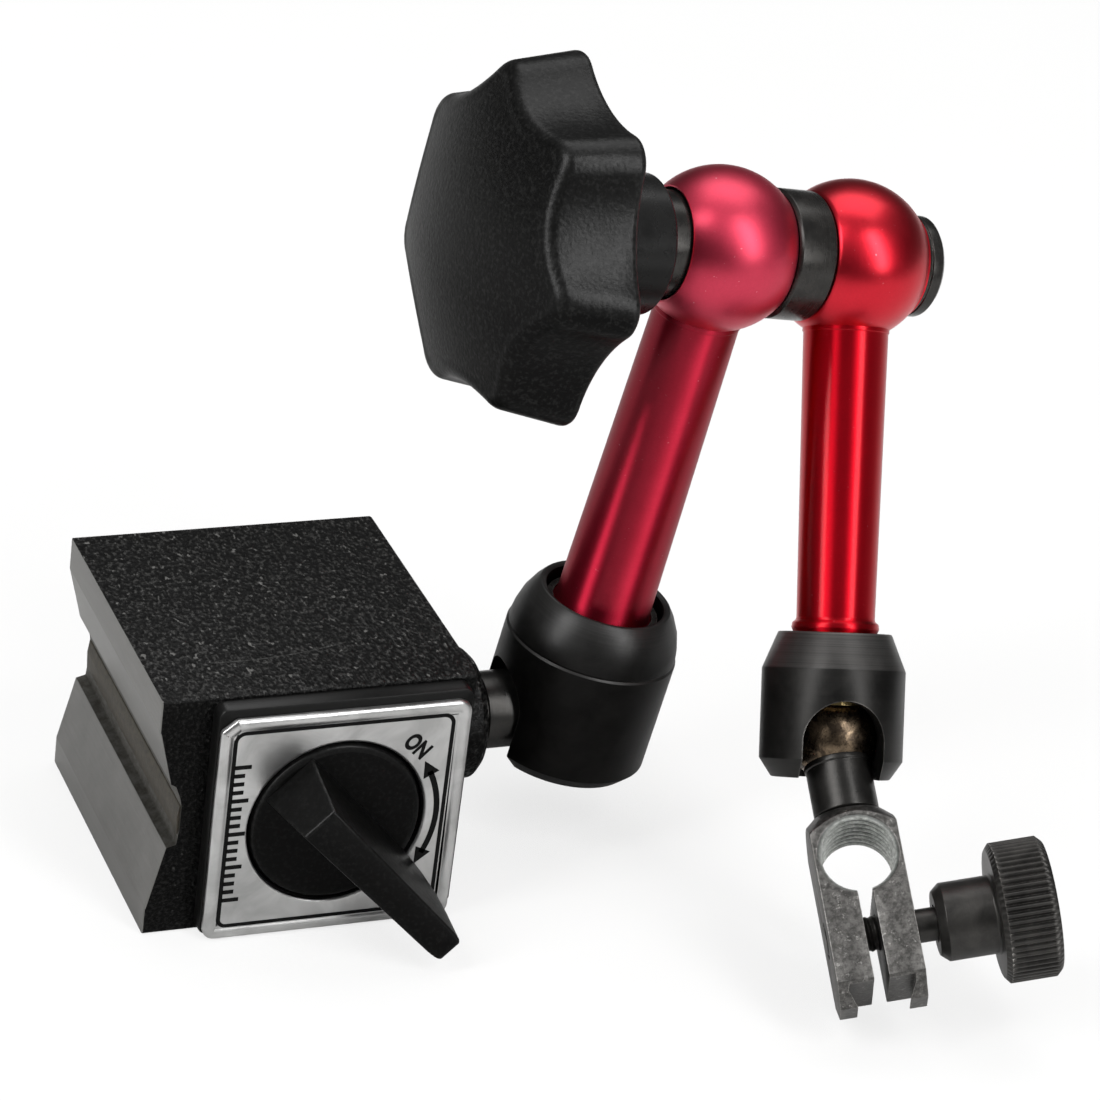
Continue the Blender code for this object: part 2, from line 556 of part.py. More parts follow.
def build_elbow_ball(arm):
    """A ball with a flat and a small hole on one side, a wide bore from the other."""
    radius, flat, bore = arm.elbow_r, arm.elbow_flat, arm.elbow_bore
    rim = math.degrees(math.asin((bore + 0.55) / radius))
    flat_angle = math.degrees(math.acos(flat / radius))
    # drawn with the wide bore opening to +Z
    outer = arc(0, 0, radius, 90 - rim, -90 + flat_angle, 14)
    inner = [(BOLT_HOLE_R, -flat), (BOLT_HOLE_R, -STEP_OFFSET), (bore, -STEP_OFFSET),
             (bore, radius * math.cos(math.radians(rim)) - 0.5)]
    if arm.bore_side < 0:
        outer, inner = [[(r, -z) for r, z in reversed(part)] for part in (outer, inner)]
    name = "elbow_ball_" + arm.name
    ball = turned(name, outer + inner, arm.elbow_frame, RED, closed=True)
    rod_frame = frame("rod_axis_" + name, arm.elbow, arm.axis, ELBOW_AXIS)
    cut(ball, cylinder("cut_rod_" + name, 2.5, -radius - 3, -2.0, rod_frame,
                       steps=SMALL_STEPS))


# ---------------------------------------------------------------- elbow
def build_elbow_ring():
    """The spacer between the flats of the two elbow balls."""
    low, high = LOWER_FLAT + 0.15, ELBOW_SPACING - UPPER_FLAT - 0.15
    bore = BOLT_R + 0.4
    turned("elbow_ring", [
        (7.0, high), (7.2, high - 0.25), (7.2, low + 0.25), (7.0, low), (bore, low), (bore, high),
    ], LOWER_ELBOW_FRAME, OXIDE, closed=True)


def build_elbow_clamping():
    """The conical collar under the knob, the conical cap at the far end, the bolt in both."""
    turned("lock_collar", [
        (4.3, 2.2), (COLLAR_R - 0.25, -5.0), (COLLAR_R, -5.3), (COLLAR_R, -9.3),
        (BOLT_HOLE_R, -9.3), (BOLT_HOLE_R, 2.2),
    ], LOWER_ELBOW_FRAME, OXIDE, closed=True)
    turned("end_cap", [
        (0, 9.35), (CAP_R - 0.45, 9.35), (CAP_R, 8.9), (CAP_R, 4.6), (CAP_R - 0.25, 4.3),
        (4.3, -2.2), (BOLT_HOLE_R, -2.2), (BOLT_HOLE_R, 5.2), (0, 5.2),
    ], UPPER_ELBOW_FRAME, OXIDE)
    far = ELBOW_SPACING + 4.9
    turned("tie_bolt", [
        (0, far), (BOLT_R - 0.5, far), (BOLT_R, far - 0.5),
        (BOLT_R, -24.6), (BOLT_R - 0.5, -25.1), (0, -25.1),
    ], LOWER_ELBOW_FRAME, BRIGHT)


def knob_outline():
    """Round lobes joined by scooped valleys."""
    outline = []
    count = KNOB_LOBES * LOBE_POINTS
    for i in range(count):
        angle = 2 * math.pi * i / count
        wave = 0.5 + 0.5 * math.cos(2 * math.pi * (i % LOBE_POINTS) / LOBE_POINTS)
        radius = KNOB_VALLEY_R + (KNOB_R - KNOB_VALLEY_R) * wave ** 1.25
        outline.append((radius * math.cos(angle), radius * math.sin(angle)))
    return outline


def build_knob():
    """The lobed knob with its crowned front, hub and brass insert."""
    knob = prism("lock_knob", knob_outline(), KNOB_BACK, KNOB_CROWN + 1.0, KNOB_FRAME, PLASTIC)
    # radius, drop below the crowned surface
    front = [(0, 0), (5, 0), (10, 0), (14, 0), (16.5, 0), (17.6, 0.2), (18.4, 1.0)]
    envelope = [(r, KNOB_CROWN - r ** 2 / (2 * KNOB_DOME_R) - drop) for r, drop in front]
    envelope += [(KNOB_R + 0.05, KNOB_BACK + 0.7), (KNOB_R - 0.8, KNOB_BACK), (0, KNOB_BACK)]
    combine(knob, turned("knob_envelope", envelope, KNOB_FRAME), "INTERSECT")
    hub = turned("knob_hub", [
        (0, KNOB_BACK + 3), (HUB_R + 0.5, KNOB_BACK + 3), (HUB_R + 0.3, KNOB_BACK),
        (HUB_R, HUB_END + 0.3), (HUB_R - 0.3, HUB_END), (0, HUB_END),
    ], KNOB_FRAME)
    combine(knob, hub, "UNION")
    cut(knob, cylinder("cut_knob_insert", 4.8, 0.0, 26.5, KNOB_FRAME, steps=SMALL_STEPS))
    turned("knob_insert", [(4.5, 26.2), (4.5, 9.9), (BOLT_HOLE_R, 9.9), (BOLT_HOLE_R, 26.2)],
           KNOB_FRAME, BRASS, steps=SMALL_STEPS, closed=True)


# ---------------------------------------------------------------- indicator clamp
def build_clamp_block():
    """The block: turned top, stem hole, slit and dovetail between two claws."""
    half_x, half_y = CLAMP_WIDTH / 2, CLAMP_T / 2
    clamp = box("clamp_block", (-half_x, -half_y, -CLAMP_TOP), (half_x, half_y, CLAMP_TIP),
                CLAMP_FRAME, STEEL)
    turned_top = turned("clamp_turned_top", [
        (0, CLAMP_TIP + 1), (7.6, CLAMP_TIP + 1), (7.6, -CLAMP_TOP + 3.6),
        (3.9, -CLAMP_TOP), (0, -CLAMP_TOP),
    ], CLAMP_FRAME)
    combine(clamp, turned_top, "INTERSECT")
    dovetail = [
        (-3.65, CLAMP_FLOOR), (-2.8, CLAMP_TIP + 0.02), (-2.8, CLAMP_TIP + 3),
        (2.8, CLAMP_TIP + 3), (2.8, CLAMP_TIP + 0.02), (3.65, CLAMP_FLOOR),
    ]
    cut(clamp,
        cylinder("cut_stem_hole", CLAMP_HOLE_R, -12, 12, HOLE_FRAME, steps=40),
        box("cut_slit", (-SLIT_HALF, -12, 2.5), (SLIT_HALF, 12, 25), CLAMP_FRAME),
        prism("cut_dovetail", dovetail, -12, 12, CLAMP_FRAME, lay=OUTLINE_XZ),
        cylinder("cut_stem_socket", 2.5, -CLAMP_TOP - 2, -CLAMP_TOP + 1.2, CLAMP_FRAME,
                 steps=SMALL_STEPS),
        cylinder("cut_screw_hole", SCREW_R + GAP, -12, 12, SCREW_FRAME, steps=SMALL_STEPS))
    # a sloping cut across the claws' ends on each Y face
    for tag, side in (("front", 1), ("back", -1)):
        outer = side * (half_y + 0.05)
        wedge = [(side * (half_y - 3.2), CLAMP_TIP + 0.05), (outer, CLAMP_TIP + 0.05),
                 (outer, CLAMP_FLOOR - 0.2)]
        cut(clamp, prism("cut_claw_" + tag, wedge, -9, 9, CLAMP_FRAME, lay=OUTLINE_YZ))


def build_clamp_screw():
    turned("screw_rod", [
        (0, 12.2), (SCREW_R, 12.2), (SCREW_R, -4.4), (SCREW_R - 0.4, -4.8), (0, -4.8),
    ], SCREW_FRAME, OXIDE, steps=SMALL_STEPS)
    bore = SCREW_R + GAP
    turned("screw_head", [
        (0, 20.0), (6.6, 20.0), (7.6, 19.1), (7.6, 14.5), (6.9, 13.7), (4.3, 13.7), (4.3, 8.1),
        (3.4, 7.2), (bore, 7.2), (bore, 12.5), (0, 12.5),
    ], SCREW_FRAME, OXIDE)


# ---------------------------------------------------------------- assembly
build_base_body()
build_arm_boss()
build_bezel()
build_face_plate()
build_back_cover()
build_rotor()
build_handle()
build_lower_stud()
for each_arm in (LOWER, UPPER):
    build_socket(each_arm)
    build_retainer(each_arm)
    build_ball_seat(each_arm)
    build_tube(each_arm)
    build_push_rod(each_arm)
    build_elbow_ball(each_arm)
build_elbow_ring()
build_elbow_clamping()
build_knob()
build_upper_stud()
build_clamp_block()
build_clamp_screw()
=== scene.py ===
"""Looks for the mini magnetic base with its articulated arm and indicator clamp.

The base stands on the floor with its switch face to the front (-Y), its groove on the left (-X)
and the arm's boss on the right (+X). The arm runs from a ball stud through the lower cup and tube,
the elbow with its lock knob and the upper tube and cup to the clamp.
Lengths are millimetres in a piece's own frame; objects are in metres.
"""

import json
import math

import bmesh
import bpy
from mathutils import Matrix, Vector


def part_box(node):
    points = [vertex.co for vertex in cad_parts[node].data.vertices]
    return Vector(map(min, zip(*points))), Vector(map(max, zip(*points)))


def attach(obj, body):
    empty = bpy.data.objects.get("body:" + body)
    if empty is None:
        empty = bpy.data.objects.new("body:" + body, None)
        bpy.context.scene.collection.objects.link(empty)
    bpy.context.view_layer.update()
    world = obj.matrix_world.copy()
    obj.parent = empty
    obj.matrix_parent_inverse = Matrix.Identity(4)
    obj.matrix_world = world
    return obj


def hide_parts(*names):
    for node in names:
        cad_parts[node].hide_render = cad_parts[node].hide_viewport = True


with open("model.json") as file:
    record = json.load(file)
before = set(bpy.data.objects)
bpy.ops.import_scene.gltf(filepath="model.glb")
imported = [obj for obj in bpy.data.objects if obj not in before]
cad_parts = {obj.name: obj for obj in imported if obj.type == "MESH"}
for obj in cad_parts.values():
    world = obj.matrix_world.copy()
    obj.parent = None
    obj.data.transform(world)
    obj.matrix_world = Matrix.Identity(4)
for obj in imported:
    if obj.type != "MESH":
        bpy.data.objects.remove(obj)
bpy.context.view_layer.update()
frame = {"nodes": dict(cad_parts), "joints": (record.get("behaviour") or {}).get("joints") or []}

MM = 0.001
JOINT = {joint["name"]: joint for joint in frame["joints"]}


def joint_pos(name):
    return Vector(JOINT[name]["pos_m"]) / MM


def joint_axis(name):
    return Vector(JOINT[name]["axis"]).normalized()


def placed(origin, z, x_hint):
    """A frame at origin (mm) with Z along z and X as near x_hint as it can be."""
    z = Vector(z).normalized()
    x_hint = Vector(x_hint)
    x = (x_hint - z * z.dot(x_hint)).normalized()
    matrix = Matrix((x, z.cross(x), z)).transposed().to_4x4()
    matrix.translation = Vector(origin) * MM
    return matrix


def square_to(axis, degrees, ref=(0, -1, 0)):
    """The direction square to axis, turned about it by degrees from the side nearest ref."""
    ref = Vector(ref)
    x = (ref - axis * axis.dot(ref)).normalized()
    turn = math.radians(degrees)
    return x * math.cos(turn) + axis.cross(x) * math.sin(turn)


# ---------------------------------------------------------------- driving points, mm
LOWER_BALL, UPPER_BALL = joint_pos("lower_ball_spin"), joint_pos("upper_ball_tilt")
LOWER_AXIS, UPPER_AXIS = joint_axis("lower_tube_swivel"), joint_axis("upper_socket_swivel")
STEM_AXIS, SCREW_AXIS = joint_axis("clamp_spin"), joint_axis("clamp_screw_turn")
SCREW = joint_pos("clamp_screw_turn")
SWITCH = joint_pos("magnet_switch")

BORE_BELOW_SCREW = 7.7
CLAMP_BORE = UPPER_BALL + STEM_AXIS * STEM_AXIS.dot(SCREW - UPPER_BALL)
CLAMP_BORE -= STEM_AXIS * BORE_BELOW_SCREW

ELBOW_AXIS = -joint_axis("elbow_fold")
ELBOW_PITCH = 16.7                     # between the centres of the two elbow balls
LOWER_ELBOW = joint_pos("elbow_fold")
UPPER_ELBOW = LOWER_ELBOW + ELBOW_AXIS * ELBOW_PITCH
LOWER_ELBOW_R, UPPER_ELBOW_R = 9.15, 9.03

BASE_LO, BASE_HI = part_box("pole_lower")[0] / MM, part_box("pole_upper")[1] / MM
PLATE_LO, PLATE_HI = (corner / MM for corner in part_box("face_plate"))
FACE_Y = PLATE_LO.y                    # front of the face plate

# the knob leans a little off the bolt, as a loose thread lets it
KNOB_PHASE, KNOB_LEANS = 14.5, (-0.9, -2.2)
KNOB_SIDE = square_to(-ELBOW_AXIS, 0.0, LOWER_AXIS)
LEAN_X, LEAN_Y = (math.tan(math.radians(lean)) for lean in KNOB_LEANS)
KNOB_AXIS = -ELBOW_AXIS + KNOB_SIDE * LEAN_X + (-ELBOW_AXIS).cross(KNOB_SIDE) * LEAN_Y
KNOB_AXIS.normalize()

UPPER_SLOT_TURN = -17.3
LEVER_TURN = math.radians(-45.9)

# ---------------------------------------------------------------- frames of the pieces
WORLD = Matrix.Identity(4)
AT_LOWER_CUP = placed(LOWER_BALL, LOWER_AXIS, (-1, 0, 0))
AT_UPPER_CUP = placed(UPPER_BALL, UPPER_AXIS, square_to(UPPER_AXIS, UPPER_SLOT_TURN))
AT_LOWER_ELBOW = placed(LOWER_ELBOW, ELBOW_AXIS, LOWER_AXIS)
AT_UPPER_ELBOW = placed(UPPER_ELBOW, ELBOW_AXIS, UPPER_AXIS)
AT_KNOB = placed(LOWER_ELBOW, KNOB_AXIS, square_to(KNOB_AXIS, KNOB_PHASE, LOWER_AXIS))
AT_STUD = placed(LOWER_BALL, (-1, 0, 0), (0, 0, 1))
AT_STEM = placed(UPPER_BALL, STEM_AXIS, SCREW_AXIS)
AT_CLAMP = placed(CLAMP_BORE, STEM_AXIS, SCREW_AXIS)
AT_SCREW = placed(SCREW, SCREW_AXIS, STEM_AXIS)
ON_FACE = (SWITCH.x, FACE_Y, SWITCH.z)
AT_SWITCH = placed(ON_FACE, (0, -1, 0), (1, 0, 0))
AT_LEVER = placed(ON_FACE, (0, -1, 0), (math.cos(LEVER_TURN), 0, math.sin(LEVER_TURN)))
AT_BACK = placed((SWITCH.x, BASE_HI.y, SWITCH.z), (0, 1, 0), (1, 0, 0))
AT_BOSS = placed((BASE_HI.x, -2.6, 15.0), (1, 0, 0), (0, 0, 1))


# ---------------------------------------------------------------- node helpers
class Graph:
    """A node tree, emptied and filled again."""

    def __init__(self, tree):
        self.tree = tree
        tree.nodes.clear()

    def feed(self, value, socket):
        """Gives an input a link, a colour or a plain value."""
        if isinstance(value, bpy.types.NodeSocket):
            self.tree.links.new(value, socket)
        elif isinstance(value, (tuple, list)) and len(value) == 3 and socket.type == "RGBA":
            socket.default_value = (*value, 1)
        else:
            socket.default_value = value

    def node(self, kind, values=None, **props):
        """A shader node with its properties; values go to its inputs by name or index."""
        made = self.tree.nodes.new("ShaderNode" + kind)
        for key, value in props.items():
            setattr(made, key, value)
        for key, value in (values or {}).items():
            self.feed(value, made.inputs[key])
        return made

    def coord(self, name):
        return self.node("TexCoord").outputs[name]

    def xyz(self, vector):
        return self.node("SeparateXYZ", {0: vector}).outputs

    def ramp(self, fac, stops):
        """A colour ramp; stops are (position, grey or colour)."""
        made = self.node("ValToRGB", {0: fac})
        elements = made.color_ramp.elements
        while len(elements) < len(stops):
            elements.new(0.5)
        for element, (position, tone) in zip(elements, stops):
            element.position = position
            element.color = (*tone, 1) if isinstance(tone, tuple) else (tone, tone, tone, 1)
        return made.outputs[0]


class Mat(Graph):
    """A principled material whose texture point is the object's own, in mm."""

    def __init__(self, name):
        self.material = bpy.data.materials.new(name)
        self.material.use_nodes = True
        super().__init__(self.material.node_tree)
        self.out = self.node("OutputMaterial")
        self.shader = self.node("BsdfPrincipled")
        self.feed(self.shader.outputs[0], self.out.inputs[0])
        self.point = self.scaled(1000, 1000, 1000, self.coord("Object"))

    def set(self, **inputs):
        """Sets inputs of the principled shader; underscores stand for spaces."""
        for name, value in inputs.items():
            self.feed(value, self.shader.inputs[name.replace("_", " ")])
        return self

    def scaled(self, x, y, z, vec=None):
        return self.node("Mapping", {"Vector": vec or self.point, "Scale": (x, y, z)}).outputs[0]

    def noise(self, scale, detail=3.0, rough=0.55, vec=None, distortion=0.0, output="Fac"):
        values = {"Vector": vec or self.point, "Scale": scale, "Detail": detail,
                  "Roughness": rough, "Distortion": distortion}
        return self.node("TexNoise", values).outputs[output]

    def cells(self, scale, vec=None):
        values = {"Vector": vec or self.point, "Scale": scale}
        return self.node("TexVoronoi", values, feature="SMOOTH_F1").outputs["Distance"]

    def math(self, operation, first, second=0.0, third=None):
        values = {0: first, 1: second}
        if third is not None:
            values[2] = third
        return self.node("Math", values, operation=operation).outputs[0]

    def times(self, first, second):
        return self.math("MULTIPLY", first, second)

    def plus(self, first, second):
        return self.math("ADD", first, second)

    def minus(self, first, second):
        return self.math("SUBTRACT", first, second)

    def weigh(self, *terms, base=None):
        """The sum of (socket, weight) terms, plus a base if there is one."""
        total = None
        for socket, weight in terms:
            part = self.times(socket, weight)
            total = self.plus(total, part) if total else part
        return total if base is None else self.plus(total, base)

    def mix(self, fac, first, second):
        return self.node("Mix", {0: fac, 6: first, 7: second}, data_type="RGBA").outputs[2]

    def rz(self):
        """(radius, 0, height) of a turned piece, for marks that run round its axis."""
        x, y, z = self.xyz(self.point)
        radius = self.math("SQRT", self.plus(self.times(x, x), self.times(y, y)))
        return self.node("CombineXYZ", {0: radius, 2: z}).outputs[0]

    def bump(self, height, distance, strength=1.0):
        values = {"Height": height, "Distance": distance * MM, "Strength": strength}
        return self.node("Bump", values).outputs[0]

    def sheen(self, full, low=0.25):
        """Specular level: full where the surface mirrors what is above, less where it mirrors
        the dull bench."""
        up = self.math("MULTIPLY_ADD", self.xyz(self.coord("Reflection"))[2], 0.5, 0.5)
        return self.ramp(up, [(0.30, full * low), (0.62, full)])

    def edge(self, radius, low, high):
        """0 on flats to 1 on sharp edges, for wear."""
        bevel = self.node("Bevel", {"Radius": radius * MM}, samples=4)
        normal = self.node("NewGeometry").outputs["Normal"]
        dot = self.node("VectorMath", {0: bevel.outputs[0], 1: normal}, operation="DOT_PRODUCT")
        return self.ramp(self.minus(1.0, dot.outputs["Value"]), [(low, 0.0), (high, 1.0)])


def shade(colour, factor):
    return tuple(min(1.0, part * factor) for part in colour)


# ---------------------------------------------------------------- materials
def crackle_paint():
    """Black crackle enamel: small lumps with glossy shoulders, painted light on their highs and
    painted shade in the valleys, painted glints, and painted shade on the sides.
    """
    mat = Mat("crackle_paint")
    point = mat.scaled(1.0, 0.62, 1.0)
    warp = mat.noise(scale=1.1, detail=2, vec=point, output="Color")
    warped = mat.node("VectorMath", {0: warp, 1: (0.9, 0.9, 0.9), 2: point},
                      operation="MULTIPLY_ADD").outputs[0]
    lumps = mat.minus(1.0, mat.cells(scale=1.35, vec=warped))
    fine = mat.noise(scale=2.5, detail=2, rough=0.6, vec=point)
    height = mat.weigh((lumps, 0.7), (fine, 0.9))
    # painted light and shade: the high parts of the fine relief are painted lighter, its low parts
    # darker
    tone = mat.ramp(fine, [(0.38, 0.0004), (0.52, (0.0042, 0.0042, 0.0040)),
                           (0.68, (0.0460, 0.0455, 0.0440))])
    # painted glints: rare bright specks put into the colour
    painted_glints = mat.ramp(mat.noise(scale=1.25, detail=2, rough=0.6, vec=point),
                      [(0.66, 0.0), (0.72, 1.0)])
    colour = mat.mix(mat.times(painted_glints, 0.8), tone, (0.16, 0.158, 0.152))
    # dust and handling lighten the lumps on the top more than on the sides
    # painted shade: faces turned away from the top are painted darker than the top
    sides = mat.ramp(mat.xyz(mat.coord("Normal"))[2], [(0.30, 0.72), (0.80, 0.0)])
    colour = mat.mix(sides, colour, (0.0022, 0.0022, 0.0021))
    colour = mat.mix(top_scratch(mat), colour, (0.075, 0.075, 0.072))
    return mat.set(Base_Color=colour, Roughness=mat.ramp(fine, [(0.36, 0.56), (0.64, 0.26)]),
                   Metallic=0.0, Normal=mat.bump(height, distance=0.24),
                   Specular_IOR_Level=mat.sheen(full=0.20))


def top_scratch(mat):
    """Mask of a long faint curved scratch across the base's top, near the switch side."""
    bow, slope, offset_y = 0.012, 0.18, -10.6      # y = bow * x^2 + slope * x + offset_y
    middle_x, half_length, above_z = -2.5, 8.0, 29.0
    x, y, z = mat.xyz(mat.point)
    curve = mat.plus(mat.times(mat.times(x, x), bow), mat.times(x, slope))
    distance = mat.math("ABSOLUTE", mat.minus(mat.minus(y, curve), offset_y))
    thin = mat.ramp(distance, [(0.05, 1.0), (0.16, 0.0)])
    reach = mat.math("LESS_THAN", mat.math("ABSOLUTE", mat.plus(x, -middle_x)), half_length)
    top = mat.math("GREATER_THAN", z, above_z)
    broken = mat.ramp(mat.noise(scale=1.6, detail=3, rough=0.7), [(0.4, 0.1), (0.6, 0.8)])
    return mat.times(mat.times(thin, mat.times(reach, top)), broken)


def ground_steel():
    """Bare ground steel: fine lines along the base, soft stains and a thin oily haze."""
    mat = Mat("ground_steel")
    lines = mat.noise(scale=1.0, detail=4, rough=0.7, vec=mat.scaled(14, 0.16, 14))
    cloud = mat.noise(scale=0.22, detail=4, rough=0.6)
    colour = mat.mix(cloud, (0.13, 0.128, 0.122), (0.30, 0.295, 0.285))
    colour = mat.mix(mat.times(lines, 0.45), colour, (0.07, 0.068, 0.064))
    rough = mat.ramp(mat.weigh((cloud, 0.5), (lines, 0.4)), [(0.25, 0.30), (0.65, 0.46)])
    return mat.set(Base_Color=colour, Metallic=0.92, Roughness=rough,
                   Normal=mat.bump(lines, distance=0.02, strength=0.8))


def slot_steel():
    """Milled slot: streaky steel with brown oil and oxide."""
    mat = Mat("slot_steel")
    streak = mat.noise(scale=1.0, detail=4, rough=0.65, vec=mat.scaled(5, 0.10, 5))
    blot = mat.noise(scale=0.8, detail=5, rough=0.7)
    colour = mat.mix(mat.ramp(blot, [(0.4, 0.0), (0.62, 1.0)]),
                     (0.085, 0.082, 0.074), (0.030, 0.026, 0.019))
    colour = mat.mix(mat.times(streak, 0.35), colour, (0.16, 0.158, 0.148))
    return mat.set(Base_Color=colour, Metallic=0.75, Roughness=0.5,
                   Normal=mat.bump(mat.plus(streak, blot), distance=0.05, strength=0.7))


def separator_brass():
    """Dull, blotched brass."""
    mat = Mat("separator_brass")
    blot = mat.noise(scale=1.2, detail=5, rough=0.7)
    streak = mat.noise(scale=1.0, detail=3, rough=0.6, vec=mat.scaled(6, 0.2, 6))
    colour = mat.mix(mat.ramp(blot, [(0.35, 0.0), (0.65, 1.0)]),
                     (0.055, 0.046, 0.031), (0.020, 0.017, 0.013))
    colour = mat.mix(mat.times(streak, 0.35), colour, (0.12, 0.11, 0.09))
    return mat.set(Base_Color=colour, Metallic=0.55, Roughness=0.55,
                   Normal=mat.bump(blot, distance=0.06, strength=0.7))


def plate_steel():
    """Satin plate: very fine lengthwise brushing, faint smudges."""
    mat = Mat("plate_steel")
    brush = mat.noise(scale=1.0, detail=3, rough=0.6, vec=mat.scaled(0.7, 20, 20))
    smudge = mat.noise(scale=0.16, detail=4, rough=0.55, distortion=0.8)
    colour = mat.mix(mat.ramp(smudge, [(0.35, 0.0), (0.68, 1.0)]),
                     (0.40, 0.40, 0.396), (0.60, 0.60, 0.595))
    return mat.set(Base_Color=colour, Metallic=1.0,
                   Roughness=mat.weigh((smudge, 0.16), (brush, 0.07), base=0.20),
                   Normal=mat.bump(brush, distance=0.006, strength=0.6))


def smooth_black(name, tone, rough, spec=0.35):
    """Smooth black with faintly worn edges."""
    mat = Mat(name)
    cloud = mat.noise(scale=0.35, detail=4, rough=0.6)
    grain = mat.noise(scale=7.0, detail=3, rough=0.6)
    colour = mat.mix(cloud, (tone, tone, tone * 0.98), (tone * 1.8, tone * 1.8, tone * 1.72))
    worn = mat.edge(radius=0.35, low=0.03, high=0.35)
    colour = mat.mix(mat.times(worn, 0.3), colour, (0.05, 0.05, 0.048))
    return mat.set(Base_Color=colour, Roughness=mat.weigh((cloud, 0.18), base=rough - 0.08),
                   Normal=mat.bump(grain, distance=0.016, strength=0.8),
                   Specular_IOR_Level=mat.sheen(full=spec))


def moulded_black(name, grain_mm, depth, tone, rough, spec, glint, rim, rub_and_highlight_tone):
    """Moulded plastic with an eroded tool texture, edges painted lighter as a highlight that also
    stands for rubbing, and painted glint specks.
    """
    mat = Mat(name)
    grain = mat.noise(scale=1.0 / grain_mm, detail=3, rough=0.6)
    pebble = mat.cells(scale=0.9 / grain_mm)
    cloud = mat.noise(scale=0.12, detail=3, rough=0.5)
    worn = mat.edge(radius=rim, low=0.015, high=0.22)
    height = mat.minus(grain, mat.times(pebble, 0.6))
    colour = mat.mix(cloud, (tone * 0.75, tone * 0.75, tone * 0.73),
                     (tone * 1.5, tone * 1.5, tone * 1.44))
    # painted highlight: the edges are painted lighter, which also stands for rubbing
    rub = mat.times(worn, mat.ramp(grain, [(0.40, 0.25), (0.60, 1.0)]))
    colour = mat.mix(mat.times(rub, 0.7), colour, (rub_and_highlight_tone, rub_and_highlight_tone, rub_and_highlight_tone * 0.98))
    # painted glints: bright specks put into the colour
    painted_glint_spots = mat.ramp(mat.noise(scale=0.9 / grain_mm, detail=2, rough=0.6),
                     [(0.50, 0.0), (0.68, 1.0)])
    colour = mat.mix(mat.times(painted_glint_spots, glint), colour, (0.034, 0.034, 0.033))
    return mat.set(Base_Color=colour, Roughness=mat.weigh((grain, 0.22), base=rough - 0.1),
                   Normal=mat.bump(height, distance=depth),
                   Specular_IOR_Level=mat.sheen(full=spec))


def black_oxide(name, tone, worn_tone, rough, lines, depth, metal=0.72, cone=0.0, spec=None):
    """Turned steel, blacked: fine tool rings, cloudy oil sheen, edges worn back to grey, and,
    where cone is set, painted light on the sloping end.
    """
    mat = Mat(name)
    round_axis = mat.rz()
    rings = mat.noise(scale=lines, detail=3, rough=0.6, vec=round_axis)
    wide = mat.noise(scale=1.1, detail=2, rough=0.5, vec=round_axis)
    cloud = mat.noise(scale=0.32, detail=5, rough=0.62, distortion=0.4)
    fine = mat.noise(scale=3.2, detail=3, rough=0.7)
    colour = mat.mix(mat.ramp(cloud, [(0.35, 0.0), (0.7, 1.0)]),
                     (tone, tone * 0.97, tone * 0.93), (tone * 2.3, tone * 2.2, tone * 2.05))
    colour = mat.mix(mat.times(mat.times(rings, wide), 0.5), colour,
                     (tone * 3.2, tone * 3.0, tone * 2.8))
    worn = mat.times(mat.edge(radius=0.22, low=0.03, high=0.30),
                     mat.ramp(fine, [(0.35, 0.25), (0.6, 1.0)]))
    colour = mat.mix(mat.times(worn, 0.8), colour,
                     (worn_tone, worn_tone * 0.96, worn_tone * 0.9))
    if cone:
        # painted light: faces of the sloping end that turn towards the open end are painted
        # lighter along the turned rings
        slope = mat.ramp(mat.xyz(mat.coord("Normal"))[2], [(0.25, 0.0), (0.55, 1.0)])
        painted_top_light = mat.times(slope, mat.ramp(rings, [(0.35, 0.55), (0.65, 1.0)]))
        colour = mat.mix(painted_top_light, colour, (cone, cone * 0.97, cone * 0.94))
    if spec is not None:
        mat.set(Specular_IOR_Level=mat.sheen(full=spec, low=0.12))
    height = mat.plus(rings, mat.times(fine, 0.4))
    return mat.set(Base_Color=colour, Metallic=metal,
                   Roughness=mat.weigh((cloud, 0.22), (rings, 0.10), base=rough - 0.15),
                   Normal=mat.bump(height, distance=depth, strength=0.8))


def worn_ball():
    """Oxide rubbed through to brownish bare steel."""
    mat = Mat("worn_ball")
    rub = mat.noise(scale=0.55, detail=5, rough=0.65, distortion=0.5)
    fine = mat.noise(scale=3.5, detail=4, rough=0.7)
    colour = mat.mix(mat.ramp(rub, [(0.42, 0.0), (0.60, 1.0)]),
                     (0.045, 0.032, 0.022), (0.24, 0.175, 0.115))
    colour = mat.mix(mat.times(fine, 0.4), colour, (0.05, 0.04, 0.03))
    return mat.set(Base_Color=colour, Metallic=0.95,
                   Roughness=mat.ramp(fine, [(0.3, 0.22), (0.7, 0.40)]),
                   Normal=mat.bump(fine, distance=0.02, strength=0.7))


